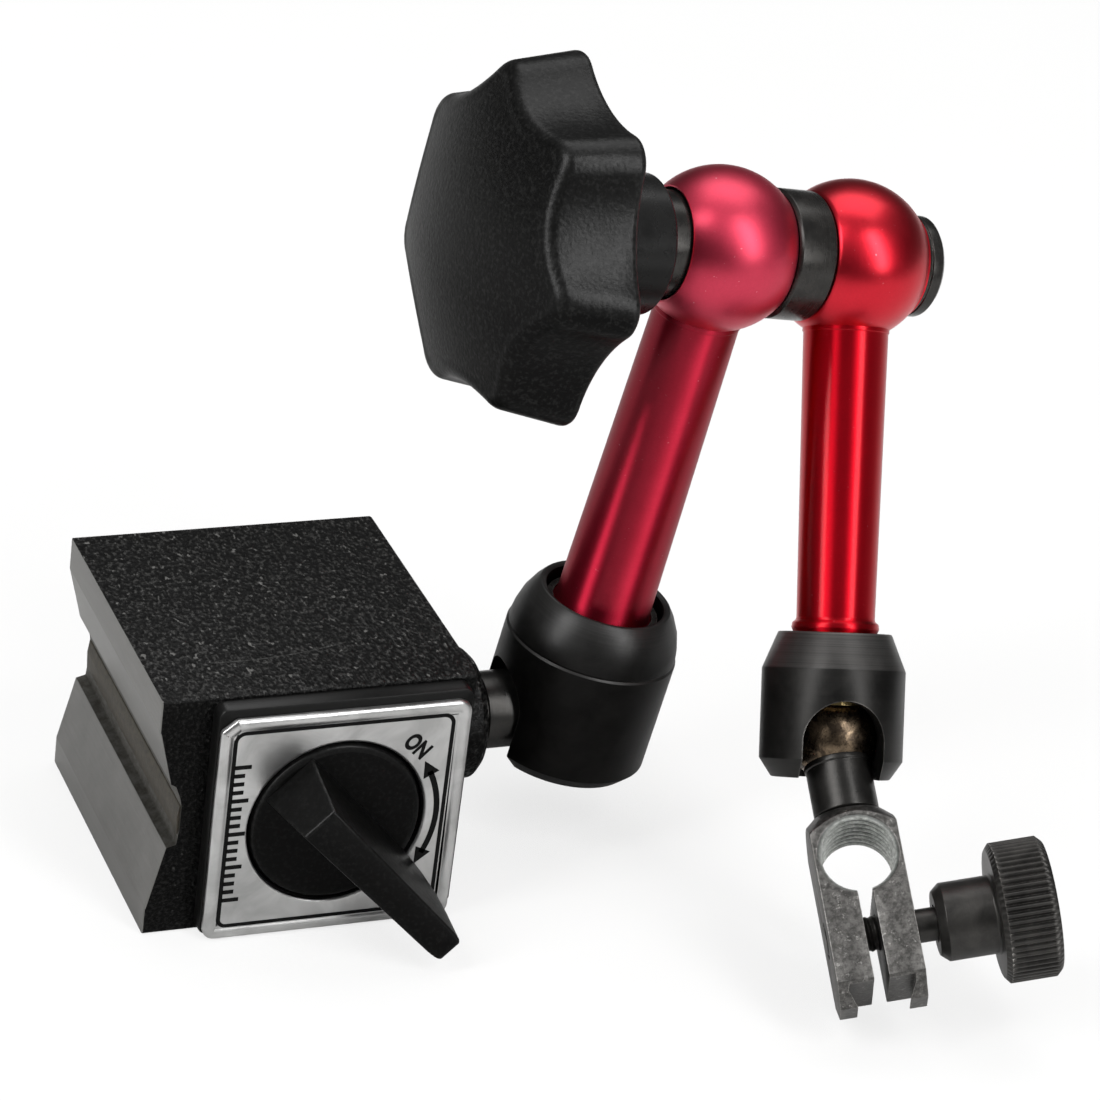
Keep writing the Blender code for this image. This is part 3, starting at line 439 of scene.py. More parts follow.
def anodised(name, deep, light, rough, haze, aniso, coat, coat_rough, grain, lines=0.35):
    """Red anodised turned aluminium: hairline rings, a soft haze and a few tiny pits."""
    mat = Mat(name)
    rings = mat.noise(scale=9.0, detail=3, rough=0.65, vec=mat.rz())
    cloud = mat.noise(scale=0.25, detail=4, rough=0.55)
    dust = mat.noise(scale=3.4, detail=3, rough=0.7)
    pits = mat.ramp(mat.noise(scale=2.3, detail=2, rough=0.5), [(0.73, 0.0), (0.80, 1.0)])
    colour = mat.mix(mat.weigh((rings, lines), (cloud, 0.6)), deep, light)
    colour = mat.mix(mat.times(dust, 0.35), colour, shade(deep, 0.6))
    colour = mat.mix(mat.times(pits, haze), colour, (0.80, 0.35, 0.42))
    height = mat.weigh((rings, 0.5), (dust, grain))
    tangent = mat.node("Tangent", direction_type="RADIAL", axis="Z").outputs[0]
    return mat.set(Base_Color=colour, Metallic=1.0,
                   Roughness=mat.weigh((rings, 0.06), (cloud, 0.08), base=rough - 0.07),
                   Normal=mat.bump(height, distance=0.004, strength=0.5),
                   Anisotropic=aniso, Anisotropic_Rotation=0.25, Tangent=tangent,
                   Coat_Weight=coat, Coat_Roughness=coat_rough)


def clamp_steel(name, base, light, rough=0.42, metal=0.9, rib_shade=0.0):
    """Milled steel, dull grey with oil stains and bright nicked edges."""
    rib_pitch = 1.25
    mat = Mat(name)
    mill = mat.noise(scale=1.0, detail=4, rough=0.7, vec=mat.scaled(1.2, 5, 9))
    cloud = mat.noise(scale=0.5, detail=5, rough=0.65, distortion=0.3)
    fine = mat.noise(scale=1.9, detail=3, rough=0.7)
    nicks = mat.noise(scale=1.5, detail=3, rough=0.75)
    colour = mat.mix(cloud, base, light)
    colour = mat.mix(mat.ramp(fine, [(0.38, 0.75), (0.62, 0.0)]), colour, shade(base, 0.45))
    colour = mat.mix(mat.ramp(nicks, [(0.60, 0.0), (0.70, 0.55)]), colour, shade(light, 2.4))
    worn = mat.times(mat.edge(radius=0.16, low=0.02, high=0.25),
                     mat.ramp(fine, [(0.3, 0.35), (0.6, 1.0)]))
    colour = mat.mix(mat.times(worn, 0.8), colour, (0.62, 0.60, 0.57))
    if rib_shade:
        # painted shade: the valleys between the ribs of the hole are painted darker
        phase = mat.times(mat.xyz(mat.point)[1], 2 * math.pi / rib_pitch)
        wave = mat.math("MULTIPLY_ADD", mat.math("COSINE", phase), 0.5, 0.5)
        colour = mat.mix(mat.ramp(wave, [(0.45, 0.0), (0.85, rib_shade)]), colour, (0.10, 0.105, 0.10))
    return mat.set(Base_Color=colour, Metallic=metal,
                   Roughness=mat.weigh((cloud, 0.2), (fine, 0.15), base=rough - 0.18),
                   Normal=mat.bump(mat.plus(mill, fine), distance=0.02, strength=0.7))


def plain_metal(name, dark, light, rough):
    mat = Mat(name)
    rings = mat.noise(scale=6.0, detail=3, rough=0.6, vec=mat.rz())
    cloud = mat.noise(scale=0.4, detail=4, rough=0.6)
    return mat.set(Base_Color=mat.mix(cloud, dark, light), Metallic=1.0,
                   Roughness=mat.weigh((rings, 0.15), base=rough - 0.07),
                   Normal=mat.bump(rings, distance=0.008, strength=0.7))


def print_ink():
    mat = Mat("print_ink")
    blot = mat.noise(scale=12.0, detail=3, rough=0.6)
    return mat.set(Base_Color=mat.mix(blot, (0.003, 0.003, 0.003), (0.008, 0.008, 0.008)),
                   Roughness=0.7, Specular_IOR_Level=0.08)


# key: (the slot a piece of this material goes in, the material)
MAT = {
    "paint": ("base_paint", crackle_paint()),
    "ground": ("base_paint", ground_steel()),
    "slot": ("base_paint", slot_steel()),
    "brass_strip": ("separator_brass", separator_brass()),
    "plate": ("plate_steel", plate_steel()),
    "bezel": ("bezel_black", smooth_black("bezel_black", tone=0.004, rough=0.30, spec=0.30)),
    "cover": ("bezel_black", smooth_black("cover_black", tone=0.006, rough=0.40)),
    "switch": ("handle_plastic", moulded_black(
        "handle_plastic", grain_mm=0.45, depth=0.016, tone=0.0026, rough=0.32, spec=0.20,
        glint=0.12, rim=0.6, rub_and_highlight_tone=0.10)),
    "knob": ("knob_plastic", moulded_black(
        "knob_plastic", grain_mm=0.42, depth=0.030, tone=0.0028, rough=0.33, spec=0.22,
        glint=0.30, rim=1.5, rub_and_highlight_tone=0.14)),
    "hub": ("knob_plastic", smooth_black("hub_plastic", tone=0.005, rough=0.26, spec=0.5)),
    "oxide": ("black_oxide", black_oxide(
        "black_oxide", tone=0.0095, worn_tone=0.20, rough=0.38, lines=7.0, depth=0.010,
        cone=0.13)),
    "oxide_soft": ("black_oxide", black_oxide(
        "cup_oxide_large", tone=0.0032, worn_tone=0.12, rough=0.38, lines=6.0, depth=0.016,
        metal=0.35, cone=0.022, spec=0.5)),
    "oxide_stem": ("black_oxide", black_oxide(
        "stem_oxide", tone=0.016, worn_tone=0.22, rough=0.30, lines=5.0, depth=0.020)),
    "ring": ("black_oxide", black_oxide(
        "ring_oxide", tone=0.022, worn_tone=0.36, rough=0.26, lines=8.0, depth=0.006)),
    "ball": ("black_oxide", worn_ball()),
    "red_1": ("red_anodised", anodised(
        "red_anodised_lower", deep=(0.40, 0.010, 0.028), light=(0.64, 0.030, 0.070), rough=0.46,
        haze=0.5, aniso=0.96, coat=0.12, coat_rough=0.20, grain=0.8)),
    "red_2": ("red_anodised", anodised(
        "red_anodised_upper", deep=(0.50, 0.0035, 0.012), light=(0.72, 0.008, 0.022), rough=0.44,
        haze=0.2, aniso=0.96, coat=0.15, coat_rough=0.14, grain=0.3)),
    "ball_1": ("red_anodised", anodised(
        "red_ball_lower", deep=(0.62, 0.035, 0.075), light=(0.82, 0.075, 0.145), rough=0.42,
        haze=0.9, aniso=0.25, coat=0.30, coat_rough=0.34, grain=3.0, lines=0.2)),
    "ball_2": ("red_anodised", anodised(
        "red_ball_upper", deep=(0.60, 0.008, 0.022), light=(0.80, 0.024, 0.048), rough=0.34,
        haze=0.3, aniso=0.35, coat=0.30, coat_rough=0.26, grain=1.0, lines=0.2)),
    "clamp": ("clamp_steel", clamp_steel(
        "clamp_steel", base=(0.085, 0.082, 0.078), light=(0.20, 0.194, 0.186))),
    "bore": ("clamp_steel", clamp_steel(
        "bore_steel", base=(0.66, 0.68, 0.65), light=(0.88, 0.90, 0.87), rough=0.34, metal=0.55,
        rib_shade=0.8)),
    "screw": ("black_oxide", black_oxide(
        "screw_oxide", tone=0.025, worn_tone=0.36, rough=0.36, lines=7.0, depth=0.014)),
    "bright": (None, plain_metal(
        "bright_steel", dark=(0.45, 0.45, 0.45), light=(0.6, 0.6, 0.6), rough=0.25)),
    "brass": (None, plain_metal(
        "seat_brass", dark=(0.45, 0.33, 0.14), light=(0.58, 0.45, 0.22), rough=0.30)),
    "magnet": (None, plain_metal(
        "magnet", dark=(0.05, 0.05, 0.055), light=(0.09, 0.09, 0.095), rough=0.55)),
    "ink": ("bezel_black", print_ink()),
}


# ---------------------------------------------------------------- outlines, mm
def arc(radius, start, end, steps, x=0, y=0):
    """Points on an arc round (x, y), between two angles in degrees."""
    angles = [math.radians(start + (end - start) * i / steps) for i in range(steps + 1)]
    return [(x + radius * math.cos(a), y + radius * math.sin(a)) for a in angles]


def rounded(corners, steps=4):
    """An outline from corners: (x, y) stays sharp and (x, y, radius) is rounded."""
    out = []
    for i, corner in enumerate(corners):
        if len(corner) < 3:
            out.append(corner)
            continue
        here = Vector(corner[:2])
        before = Vector(corners[i - 1][:2]) - here
        after = Vector(corners[(i + 1) % len(corners)][:2]) - here
        room = 0.48 * min(before.length, after.length)
        before.normalize()
        after.normalize()
        half = math.acos(max(-1, min(1, before.dot(after)))) / 2
        if half > math.radians(86):        # all but straight
            out.append(corner[:2])
            continue
        setback = min(corner[2] / math.tan(half), room)
        radius = setback * math.tan(half)
        centre = here + (before + after).normalized() * (radius / math.sin(half))
        spoke = here + before * setback - centre
        turn = spoke.angle_signed(here + after * setback - centre)
        for k in range(steps + 1):
            cos, sin = math.cos(-turn * k / steps), math.sin(-turn * k / steps)
            out.append((centre.x + spoke.x * cos - spoke.y * sin,
                        centre.y + spoke.x * sin + spoke.y * cos))
    return out


# ---------------------------------------------------------------- mesh helpers
def ring(geo, points):
    """New vertices of a bmesh at points in mm."""
    return [geo.verts.new((x * MM, y * MM, z * MM)) for x, y, z in points]


def skin(geo, rings):
    """Faces between each ring and the next; a ring may be a single point."""
    for low, high in zip(rings, rings[1:]):
        for i in range(max(len(low), len(high))):
            j = i + 1
            quad = (low[i % len(low)], low[j % len(low)],
                    high[j % len(high)], high[i % len(high)])
            geo.faces.new(list(dict.fromkeys(quad)))


def turned(corners, segs=96, loop=False, contour=None):
    """Turned surface from (r, z) or (r, z, rounding) corners, closed on itself if loop.

    contour(r, z, angle) may change r for threads and knurls."""
    geo = bmesh.new()
    rings = []
    for radius, z in rounded(corners):
        if radius < 1e-5:
            rings.append(ring(geo, [(0, 0, z)]))
            continue
        points = []
        for i in range(segs):
            angle = 2 * math.pi * i / segs
            reach = contour(radius, z, angle) if contour else radius
            points.append((reach * math.cos(angle), reach * math.sin(angle), z))
        rings.append(ring(geo, points))
    skin(geo, rings + rings[:1] if loop else rings)
    return geo


def prism(corners, bottom, top):
    geo = bmesh.new()
    outline = rounded(corners)
    low, high = (ring(geo, [(x, y, z) for x, y in outline]) for z in (bottom, top))
    geo.faces.new(low[::-1])
    geo.faces.new(high)
    skin(geo, [low, high])
    return geo


def block(half_x, half_y, bottom, top):
    return prism([(-half_x, -half_y), (half_x, -half_y), (half_x, half_y), (-half_x, half_y)],
                 bottom, top)


def to_mesh(name, geo):
    mesh = bpy.data.meshes.new(name)
    geo.to_mesh(mesh)
    geo.free()
    return mesh


def clean_mesh(name, geo):
    """The bmesh as a mesh, welded and with its faces turned outwards."""
    bmesh.ops.remove_doubles(geo, verts=geo.verts, dist=0.0000005)
    bmesh.ops.recalc_face_normals(geo, faces=geo.faces)
    return to_mesh(name, geo)


def add_object(name, data, matrix=WORLD):
    obj = bpy.data.objects.new(name, data)
    bpy.context.scene.collection.objects.link(obj)
    obj.matrix_world = matrix
    return obj


def helper(name, geo, matrix):
    """An object that is cut, or cuts others, and is removed again."""
    return add_object(name, clean_mesh(name, geo), matrix)


def bake(obj):
    """The object's mesh with its modifiers applied, and its matrix; the object goes."""
    bpy.context.view_layer.update()
    graph = bpy.context.evaluated_depsgraph_get()
    mesh = bpy.data.meshes.new_from_object(obj.evaluated_get(graph))
    matrix = obj.matrix_world.copy()
    bpy.data.objects.remove(obj)
    return mesh, matrix


def add_bevel(obj, width, segments, limit):
    bevel = obj.modifiers.new("bevel", "BEVEL")
    bevel.width = width * MM
    bevel.segments = segments
    bevel.limit_method = "ANGLE"
    bevel.angle_limit = math.radians(limit)
    return bevel


def carve(obj, steps, bevel):
    """Applies booleans (operation, cutter), then bevels the sharp edges, and bakes."""
    for operation, cutter in steps:
        boolean = obj.modifiers.new("cut", "BOOLEAN")
        boolean.operation = operation
        boolean.solver = "EXACT"
        boolean.object = cutter
    obj.modifiers.new("weld", "WELD").merge_threshold = 0.000002
    add_bevel(obj, width=bevel, segments=2, limit=38).miter_outer = "MITER_ARC"
    baked = bake(obj)
    for _, cutter in steps:
        bpy.data.objects.remove(cutter)
    return baked


def finish(name, mesh, matrix, mats, body, replaces=(), angle=32):
    """The finished piece. mats are keys of MAT with spaces between."""
    mesh.polygons.foreach_set("use_smooth", [True] * len(mesh.polygons))
    mesh.set_sharp_from_angle(angle=math.radians(angle))
    indices = [face.material_index for face in mesh.polygons]
    mesh.materials.clear()
    keys = mats.split()
    for key in keys:
        mesh.materials.append(MAT[key][1].material)
    mesh.polygons.foreach_set("material_index", indices)
    obj = add_object(name, mesh, matrix)
    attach(obj, body)
    if replaces:
        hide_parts(*replaces)


def piece(name, geo, matrix, mats, body, replaces=(), angle=32):
    finish(name, clean_mesh(name, geo), matrix, mats, body, replaces, angle)


def lathe(name, corners, matrix, mats, body, replaces=(), segs=96, loop=False, contour=None,
          angle=32):
    piece(name, turned(corners, segs, loop, contour), matrix, mats, body, replaces, angle)


# ---------------------------------------------------------------- base housing
HOUSING_EDGE = 0.45


def housing():
    """The painted body with its ground V-groove face: an X-Z section run front to back."""
    left, right, bottom, top = BASE_LO.x, BASE_HI.x, BASE_LO.z, BASE_HI.z
    front, back = BASE_LO.y, BASE_HI.y
    # x, z, rounding
    section = rounded([
        (right, bottom, HOUSING_EDGE), (right, top, HOUSING_EDGE),
        (left, top, 0.10), (left, 25.75, 0.25),
        (-16.15, 19.15, 0.12), (-15.55, 18.8, 0.2), (-14.95, 17.2, 0.25), (-14.75, 16.2, 0.3),
        (-14.75, 13.3, 0.3), (-14.95, 11.35, 0.2), (-16.05, 11.05, 0.10),
        (left, 3.35, 0.25), (left, bottom, 0.12)])

    def inset(depth):
        """The section with its painted outside drawn in; the groove runs straight through."""
        points = []
        for x, z in section:
            new_x = x - depth if x > right - 1.0 else x
            if x < left + 1.0:
                new_x = x + depth * 0.3
            if z < bottom + 1.0:
                z += depth
            elif z > top - 1.0:
                z -= depth
            points.append((new_x, z))
        return points

    # the front and back edges are rounded by rings of the inset section
    stations = []
    for k in range(5):
        turn = math.pi / 2 * (1 - k / 4)
        stations.append((HOUSING_EDGE * (1 - math.sin(turn)),
                         inset(HOUSING_EDGE * (1 - math.cos(turn)))))
    rows = [(front + depth, points) for depth, points in stations]
    rows += [(back - depth, points) for depth, points in reversed(stations)]
    geo = bmesh.new()
    rings = [ring(geo, [(x, y, z) for x, z in points]) for y, points in rows]
    skin(geo, rings)
    geo.faces.new(rings[0])
    geo.faces.new(rings[-1][::-1])
    bmesh.ops.recalc_face_normals(geo, faces=geo.faces)
    bmesh.ops.triangulate(geo, faces=[face for face in geo.faces if len(face.verts) > 4])
    for face in geo.faces:
        mid = face.calc_center_median() / MM
        normal = face.normal
        bare_side = normal.x < -0.35 or mid.x > left + 0.9
        in_height = 0.05 < mid.z < top - 0.06
        if abs(normal.y) < 0.6 and mid.x < left + 4 and bare_side and in_height:
            face.material_index = 2 if mid.x > left + 2.0 else 1
    finish("base_housing", to_mesh("base_housing", geo), WORLD, "paint ground slot", "base",
           ("pole_upper", "pole_lower", "separator_arm_side"), angle=30)


housing()

# the strip between the poles, proud in the bottom of the slot, with a crowned face
STRIP_INSET = 0.3
STRIP = [(-13.0, 12.2), (-13.0, 16.3), (-14.85, 16.2, 0.3), (-15.05, 14.6, 0.8),
         (-14.95, 12.5, 0.3)]     # x, z, rounding
AT_STRIP = Matrix(((1, 0, 0), (0, 0, 1), (0, 1, 0))).to_4x4()
AT_STRIP.translation.y = (BASE_LO.y + STRIP_INSET) * MM
piece("groove_strip", prism(STRIP, 0, BASE_HI.y - BASE_LO.y - 2 * STRIP_INSET), AT_STRIP,
      "brass_strip", "base", ("separator_groove",))

# painted ring with a chamfered rim on the right side
lathe("boss", [(4.6, 5.0), (4.75, 6.1, 0.15), (6.6, 6.1, 0.3), (7.5, 5.2, 0.35),
               (7.5, 0.9, 0.6), (8.1, -0.1), (4.6, -0.1)],
      AT_BOSS, "paint", "base", ("arm_boss",), segs=72, loop=True)

# ---------------------------------------------------------------- bezel and face plate
SWITCH_HOLE_R = 10.15


def holed_plate(name, outline, levels, hole_levels, mats, replaces, angle=32):
    """A plate on the front face with a round opening for the switch.

    levels are (inset, height) rings from the outline inwards, and hole_levels
    (radius added, height) rings down the opening."""
    geo = bmesh.new()
    count = len(outline)
    normals = []
    for i in range(count):
        along = (Vector(outline[(i + 1) % count]) - Vector(outline[i - 1])).normalized()
        normals.append(Vector((-along.y, along.x)))
    outers = []
    for inset, height in levels:
        points = [Vector(point) + normal * inset for point, normal in zip(outline, normals)]
        outers.append(ring(geo, [(p.x, FACE_Y - height, p.y) for p in points]))
    skin(geo, outers)
    holes = []
    for extra, height in hole_levels:
        points = arc(SWITCH_HOLE_R + extra, 0, 360, 96, SWITCH.x, SWITCH.z)[:-1]
        holes.append(ring(geo, [(x, FACE_Y - height, z) for x, z in points]))
    skin(geo, holes)
    edges = [geo.edges.get((loop[i], loop[(i + 1) % len(loop)]))
             for loop in (outers[-1], holes[0]) for i in range(len(loop))]
    bmesh.ops.triangle_fill(geo, use_beauty=True, use_dissolve=False, edges=edges)
    piece(name, geo, WORLD, mats, "base", replaces, angle)


BEZEL_X0, BEZEL_X1 = PLATE_LO.x - 0.25, PLATE_HI.x + 0.35
BEZEL_Z0, BEZEL_Z1, BEZEL_CORNER = 0.3, 29.15, 1.2
holed_plate("bezel",
            rounded([(BEZEL_X0, BEZEL_Z0, BEZEL_CORNER), (BEZEL_X1, BEZEL_Z0, BEZEL_CORNER),
                     (BEZEL_X1, BEZEL_Z1, BEZEL_CORNER), (BEZEL_X0, BEZEL_Z1, BEZEL_CORNER)],
                    steps=6),
            [(0.0, -2.6), (0.0, -1.0), (0.15, -0.72), (0.45, -0.6)],
            [(0.0, -0.6), (-0.12, -0.75), (-0.12, -2.6)], "bezel", ("front_bezel",))

# the plate has a raised bead round it and its upper left corner cut off
holed_plate("plate",
            rounded([(PLATE_LO.x, PLATE_LO.z, 1.5), (PLATE_HI.x, PLATE_LO.z, 1.3),
                     (PLATE_HI.x, PLATE_HI.z, 1.6), (PLATE_LO.x + 1.7, PLATE_HI.z, 0.5),
                     (PLATE_LO.x, PLATE_HI.z - 1.35, 0.6)], steps=8),
            [(0.0, -0.55), (0.0, -0.12), (0.12, 0.06), (0.35, 0.17), (0.75, 0.22), (1.05, 0.17),
             (1.25, 0.05), (1.45, -0.02), (1.7, 0.0)],
            [(0.35, 0.0), (0.12, -0.03), (0.0, -0.15), (0.0, -0.55)],
            "plate", ("face_plate",), angle=40)

# ---------------------------------------------------------------- print on the plate
INK_Y = FACE_Y - 0.012
ARROW_R, ARROW_START, ARROW_END = 11.6, -26.5, 27.5
TICK_X, TICK_Z, TICK_PITCH, TICK_COUNT, TICK_HEIGHT = -10.1, 4.9, 1.06, 17, 0.52
LONG_TICK, SHORT_TICK = 1.95, 1.3
WORD_R, WORD_SIZE, WORD_NARROWING = 12.15, 2.75, 0.74
WORD_BOLDNESS = 0.13


def film(name, polygons):
    """Flat printed shapes on the plate, each a list of (x, z) points, facing the front."""
    geo = bmesh.new()
    for polygon in polygons:
        geo.faces.new(ring(geo, [(x, INK_Y, z) for x, z in polygon]))
    bmesh.ops.recalc_face_normals(geo, faces=geo.faces)
    for face in geo.faces:
        if face.normal.y > 0:
            face.normal_flip()
    finish(name, to_mesh(name, geo), WORLD, "ink", "base")


def band(points, width, closed=False):
    """Quads along a polyline, width wide."""
    count = len(points)
    sides = []
    for i in range(count):
        before = points[i - 1] if closed or i > 0 else points[i]
        after = points[(i + 1) % count] if closed or i < count - 1 else points[i]
        along = (Vector(after) - Vector(before)).normalized()
        across = Vector((-along.y, along.x)) * width / 2
        here = Vector(points[i])
        sides.append((tuple(here + across), tuple(here - across)))
    quads = []
    for i in range(count if closed else count - 1):
        (start_a, start_b), (end_a, end_b) = sides[i], sides[(i + 1) % count]
        quads.append([start_a, end_a, end_b, start_b])
    return quads


def print_frame():
    left, right = PLATE_LO.x + 1.68, PLATE_HI.x - 2.05
    bottom, top = PLATE_LO.z + 1.62, PLATE_HI.z - 1.66
    outline = rounded([(left, bottom, 0.9), (right, bottom, 0.9), (right, top, 1.1),
                       (left, top, 1.1)], steps=6)
    film("print_frame", band(outline, width=0.46, closed=True))


def print_arrow():
    """An arc to the right of the switch with an arrowhead at each end."""
    line = arc(ARROW_R, ARROW_START, ARROW_END, 36, SWITCH.x, SWITCH.z)
    shapes = band(line, width=0.68)
    for end, way in ((ARROW_START, -1), (ARROW_END, 1)):
        out = Vector((math.cos(math.radians(end)), math.sin(math.radians(end))))
        root = Vector((SWITCH.x, SWITCH.z)) + out * ARROW_R
        along = Vector((-out.y, out.x)) * way
        shapes.append([tuple(root + out * 1.0 - along * 0.5), tuple(root + along * 1.6),
                       tuple(root - out * 1.0 - along * 0.5)])
    film("print_arrow", shapes)


def print_ticks():
    """A row of ticks up the plate, every fourth one long."""
    ticks = []
    for k in range(TICK_COUNT):
        z = TICK_Z + TICK_PITCH * k
        end = TICK_X + (SHORT_TICK if k % 4 else LONG_TICK)
        ticks.append([(TICK_X, z), (end, z), (end, z + TICK_HEIGHT), (TICK_X, z + TICK_HEIGHT)])
    film("print_ticks", ticks)


def word(name, text, degrees):
    """A position word, set round the switch at an angle."""
    curve = bpy.data.curves.new(name, "FONT")
    curve.body = text
    curve.size = WORD_SIZE * MM
    curve.align_x = "CENTER"
    curve.align_y = "CENTER"
    curve.offset = WORD_BOLDNESS * MM
    mesh, _ = bake(add_object(name + "_tmp", curve))
    for vertex in mesh.vertices:
        vertex.co.x *= WORD_NARROWING
    angle = math.radians(degrees)
    turn = angle - math.pi / 2
    origin = (SWITCH.x + WORD_R * math.cos(angle), INK_Y, SWITCH.z + WORD_R * math.sin(angle))
    matrix = placed(origin, (0, -1, 0), (math.cos(turn), 0, math.sin(turn)))
    finish(name, mesh, matrix, "ink", "base")


print_frame()
print_arrow()
print_ticks()
word("print_on", "ON", 46.0)
word("print_off", "OFF", -52.0)

# back: a pressed cover over the rotor bore
lathe("back_cap", [(0, 0.12), (1.4, 0.12, 0.2), (1.9, -0.25, 0.2), (6.6, -0.25, 0.3),
                   (7.2, 0.16, 0.3), (8.5, 0.16, 0.1), (8.75, -0.2, 0.1), (8.75, -1.5),
                   (0, -1.5)],
      AT_BACK, "cover", "base", ("back_cover",))

# ---------------------------------------------------------------- switch handle
lathe("switch_disc", [(0, 0.05), (8.9, 0.10, 0.3), (9.55, -0.05, 0.25), (9.78, -0.5, 0.1),
                      (9.78, -2.2), (0, -2.2)],
      AT_SWITCH, "switch", "switch", ("switch_handle",))

# position along the lever, low, high, half width at low, half width at high
LEVER_SECTIONS = [
    (-8.55, -0.4, 0.35, 3.45, 3.38), (-6.95, -0.4, 7.6, 3.5, 2.16), (0.0, -0.4, 8.72, 3.3, 2.04),
    (8.4, -0.4, 9.95, 2.9, 1.88), (9.6, 0.35, 10.14, 2.85, 1.86), (11.8, 1.7, 10.5, 2.66, 1.82),
    (13.6, 3.7, 10.82, 2.36, 1.78), (14.8, 6.2, 11.0, 1.98, 1.66),
    (15.35, 8.3, 11.02, 1.55, 1.42)]


def lever():
    """The finger lever, from its steep back end over the ridge to the rounded tip."""
    geo = bmesh.new()
    rings = [ring(geo, [(x, -wide, low), (x, wide, low), (x, narrow, high), (x, -narrow, high)])
             for x, low, high, wide, narrow in LEVER_SECTIONS]
    skin(geo, rings)
    geo.faces.new(rings[0][::-1])
    geo.faces.new(rings[-1])
    obj = helper("lever_tmp", geo, AT_LEVER)
    add_bevel(obj, width=0.5, segments=4, limit=18)
    mesh, matrix = bake(obj)
    finish("switch_lever", mesh, matrix, "switch", "switch", angle=40)


lever()

# ---------------------------------------------------------------- ball sockets
# turns a prism so that its outline lies in Y-Z and it runs along X
ALONG_X = Matrix(((0, 0, 1), (1, 0, 0), (0, 1, 0))).to_4x4()


def socket(name, corners, slot_half, arch_top, matrix, mats, body, replaces):
    """A cup with an arched slot through its +X side, open at its lower end."""
    obj = helper(name + "_tmp", turned(corners, 128, loop=True), matrix)
    arch = arc(slot_half, 0, 180, 40, y=arch_top - slot_half)
    outline = [(slot_half, -12.0), *arch, (-slot_half, -12.0)]
    cutter = helper(name + "_slot", prism(outline, 0.0, 16.0), matrix @ ALONG_X)
    mesh, matrix = carve(obj, [("DIFFERENCE", cutter)], bevel=0.16)
    finish(name, mesh, matrix, mats, body, replaces, angle=38)


# r, z, rounding: the outside from the top down, then the inside up again
LOWER_CUP = [
    (6.95, 14.15), (7.55, 14.5, 0.35), (8.4, 13.35), (9.2, 11.8), (9.68, 10.1),
    (9.86, 8.85, 0.05), (9.80, 8.62, 0.05), (10.02, 8.42, 0.12), (10.0, -4.75, 0.25),
    (8.75, -6.2, 0.3), (5.05, -6.2),
    (5.05, -4.3), *arc(6.6, -40, 0, 10), (6.6, 8.2), (6.95, 8.5)]
UPPER_CUP = [
    (5.5, 11.2), (6.25, 11.3, 0.3), (7.88, 7.32), (7.95, 7.15), (7.93, -2.75, 0.3),
    (6.55, -4.8, 0.3), (4.5, -4.8),
    (4.5, -3.3), *arc(5.4, -34, 0, 10), (5.4, 6.0), (5.5, 6.2)]
socket("lower_cup", LOWER_CUP, 4.95, 4.75, AT_LOWER_CUP, "oxide_soft", "lower_cup",
       ("lower_socket",))
socket("upper_cup", UPPER_CUP, 4.5, 3.75, AT_UPPER_CUP, "oxide", "upper_cup", ("upper_socket",))

# ---------------------------------------------------------------- ball studs
STUD_BALL_R, STEM_BALL_R = 6.25, 5.05
lathe("lower_stud", [(0, -STUD_BALL_R), *arc(STUD_BALL_R, -88, 48, 40), (3.7, 5.3),
                     (4.45, 5.7, 0.15), (4.45, 11.6, 0.1), (4.2, 11.75), (4.2, 12.05),
                     (4.45, 12.2, 0.1), (4.45, 12.35, 0.1), (2.9, 12.4), (2.9, 18.6), (0, 19.2)],
      AT_STUD, "oxide_stem", "lower_stud", ("lower_ball_stud",))
lathe("upper_ball", [(0, -STEM_BALL_R), *arc(STEM_BALL_R, -88, 46, 40), (3.3, 3.75), (0, 3.75)],
      AT_STEM, "ball", "upper_stud")
lathe("upper_stem", [(0, 3.3), (3.25, 3.3, 0.1), (3.72, 3.45, 0.15), (3.72, 4.0, 0.1),
                     (3.6, 4.15, 0.1), (3.62, 9.45, 0.2), (3.1, 9.72), (2.2, 9.72), (2.2, 10.9),
                     (0, 10.9)],
      AT_STEM, "oxide_stem", "upper_stud", ("upper_ball_stud",))


# ---------------------------------------------------------------- tubes
def tube_end(start, elbow, ball_r, tube_r):
    """Where a tube of radius tube_r meets the surface of its elbow ball."""
    return (elbow - start).length - math.sqrt(ball_r ** 2 - tube_r ** 2)


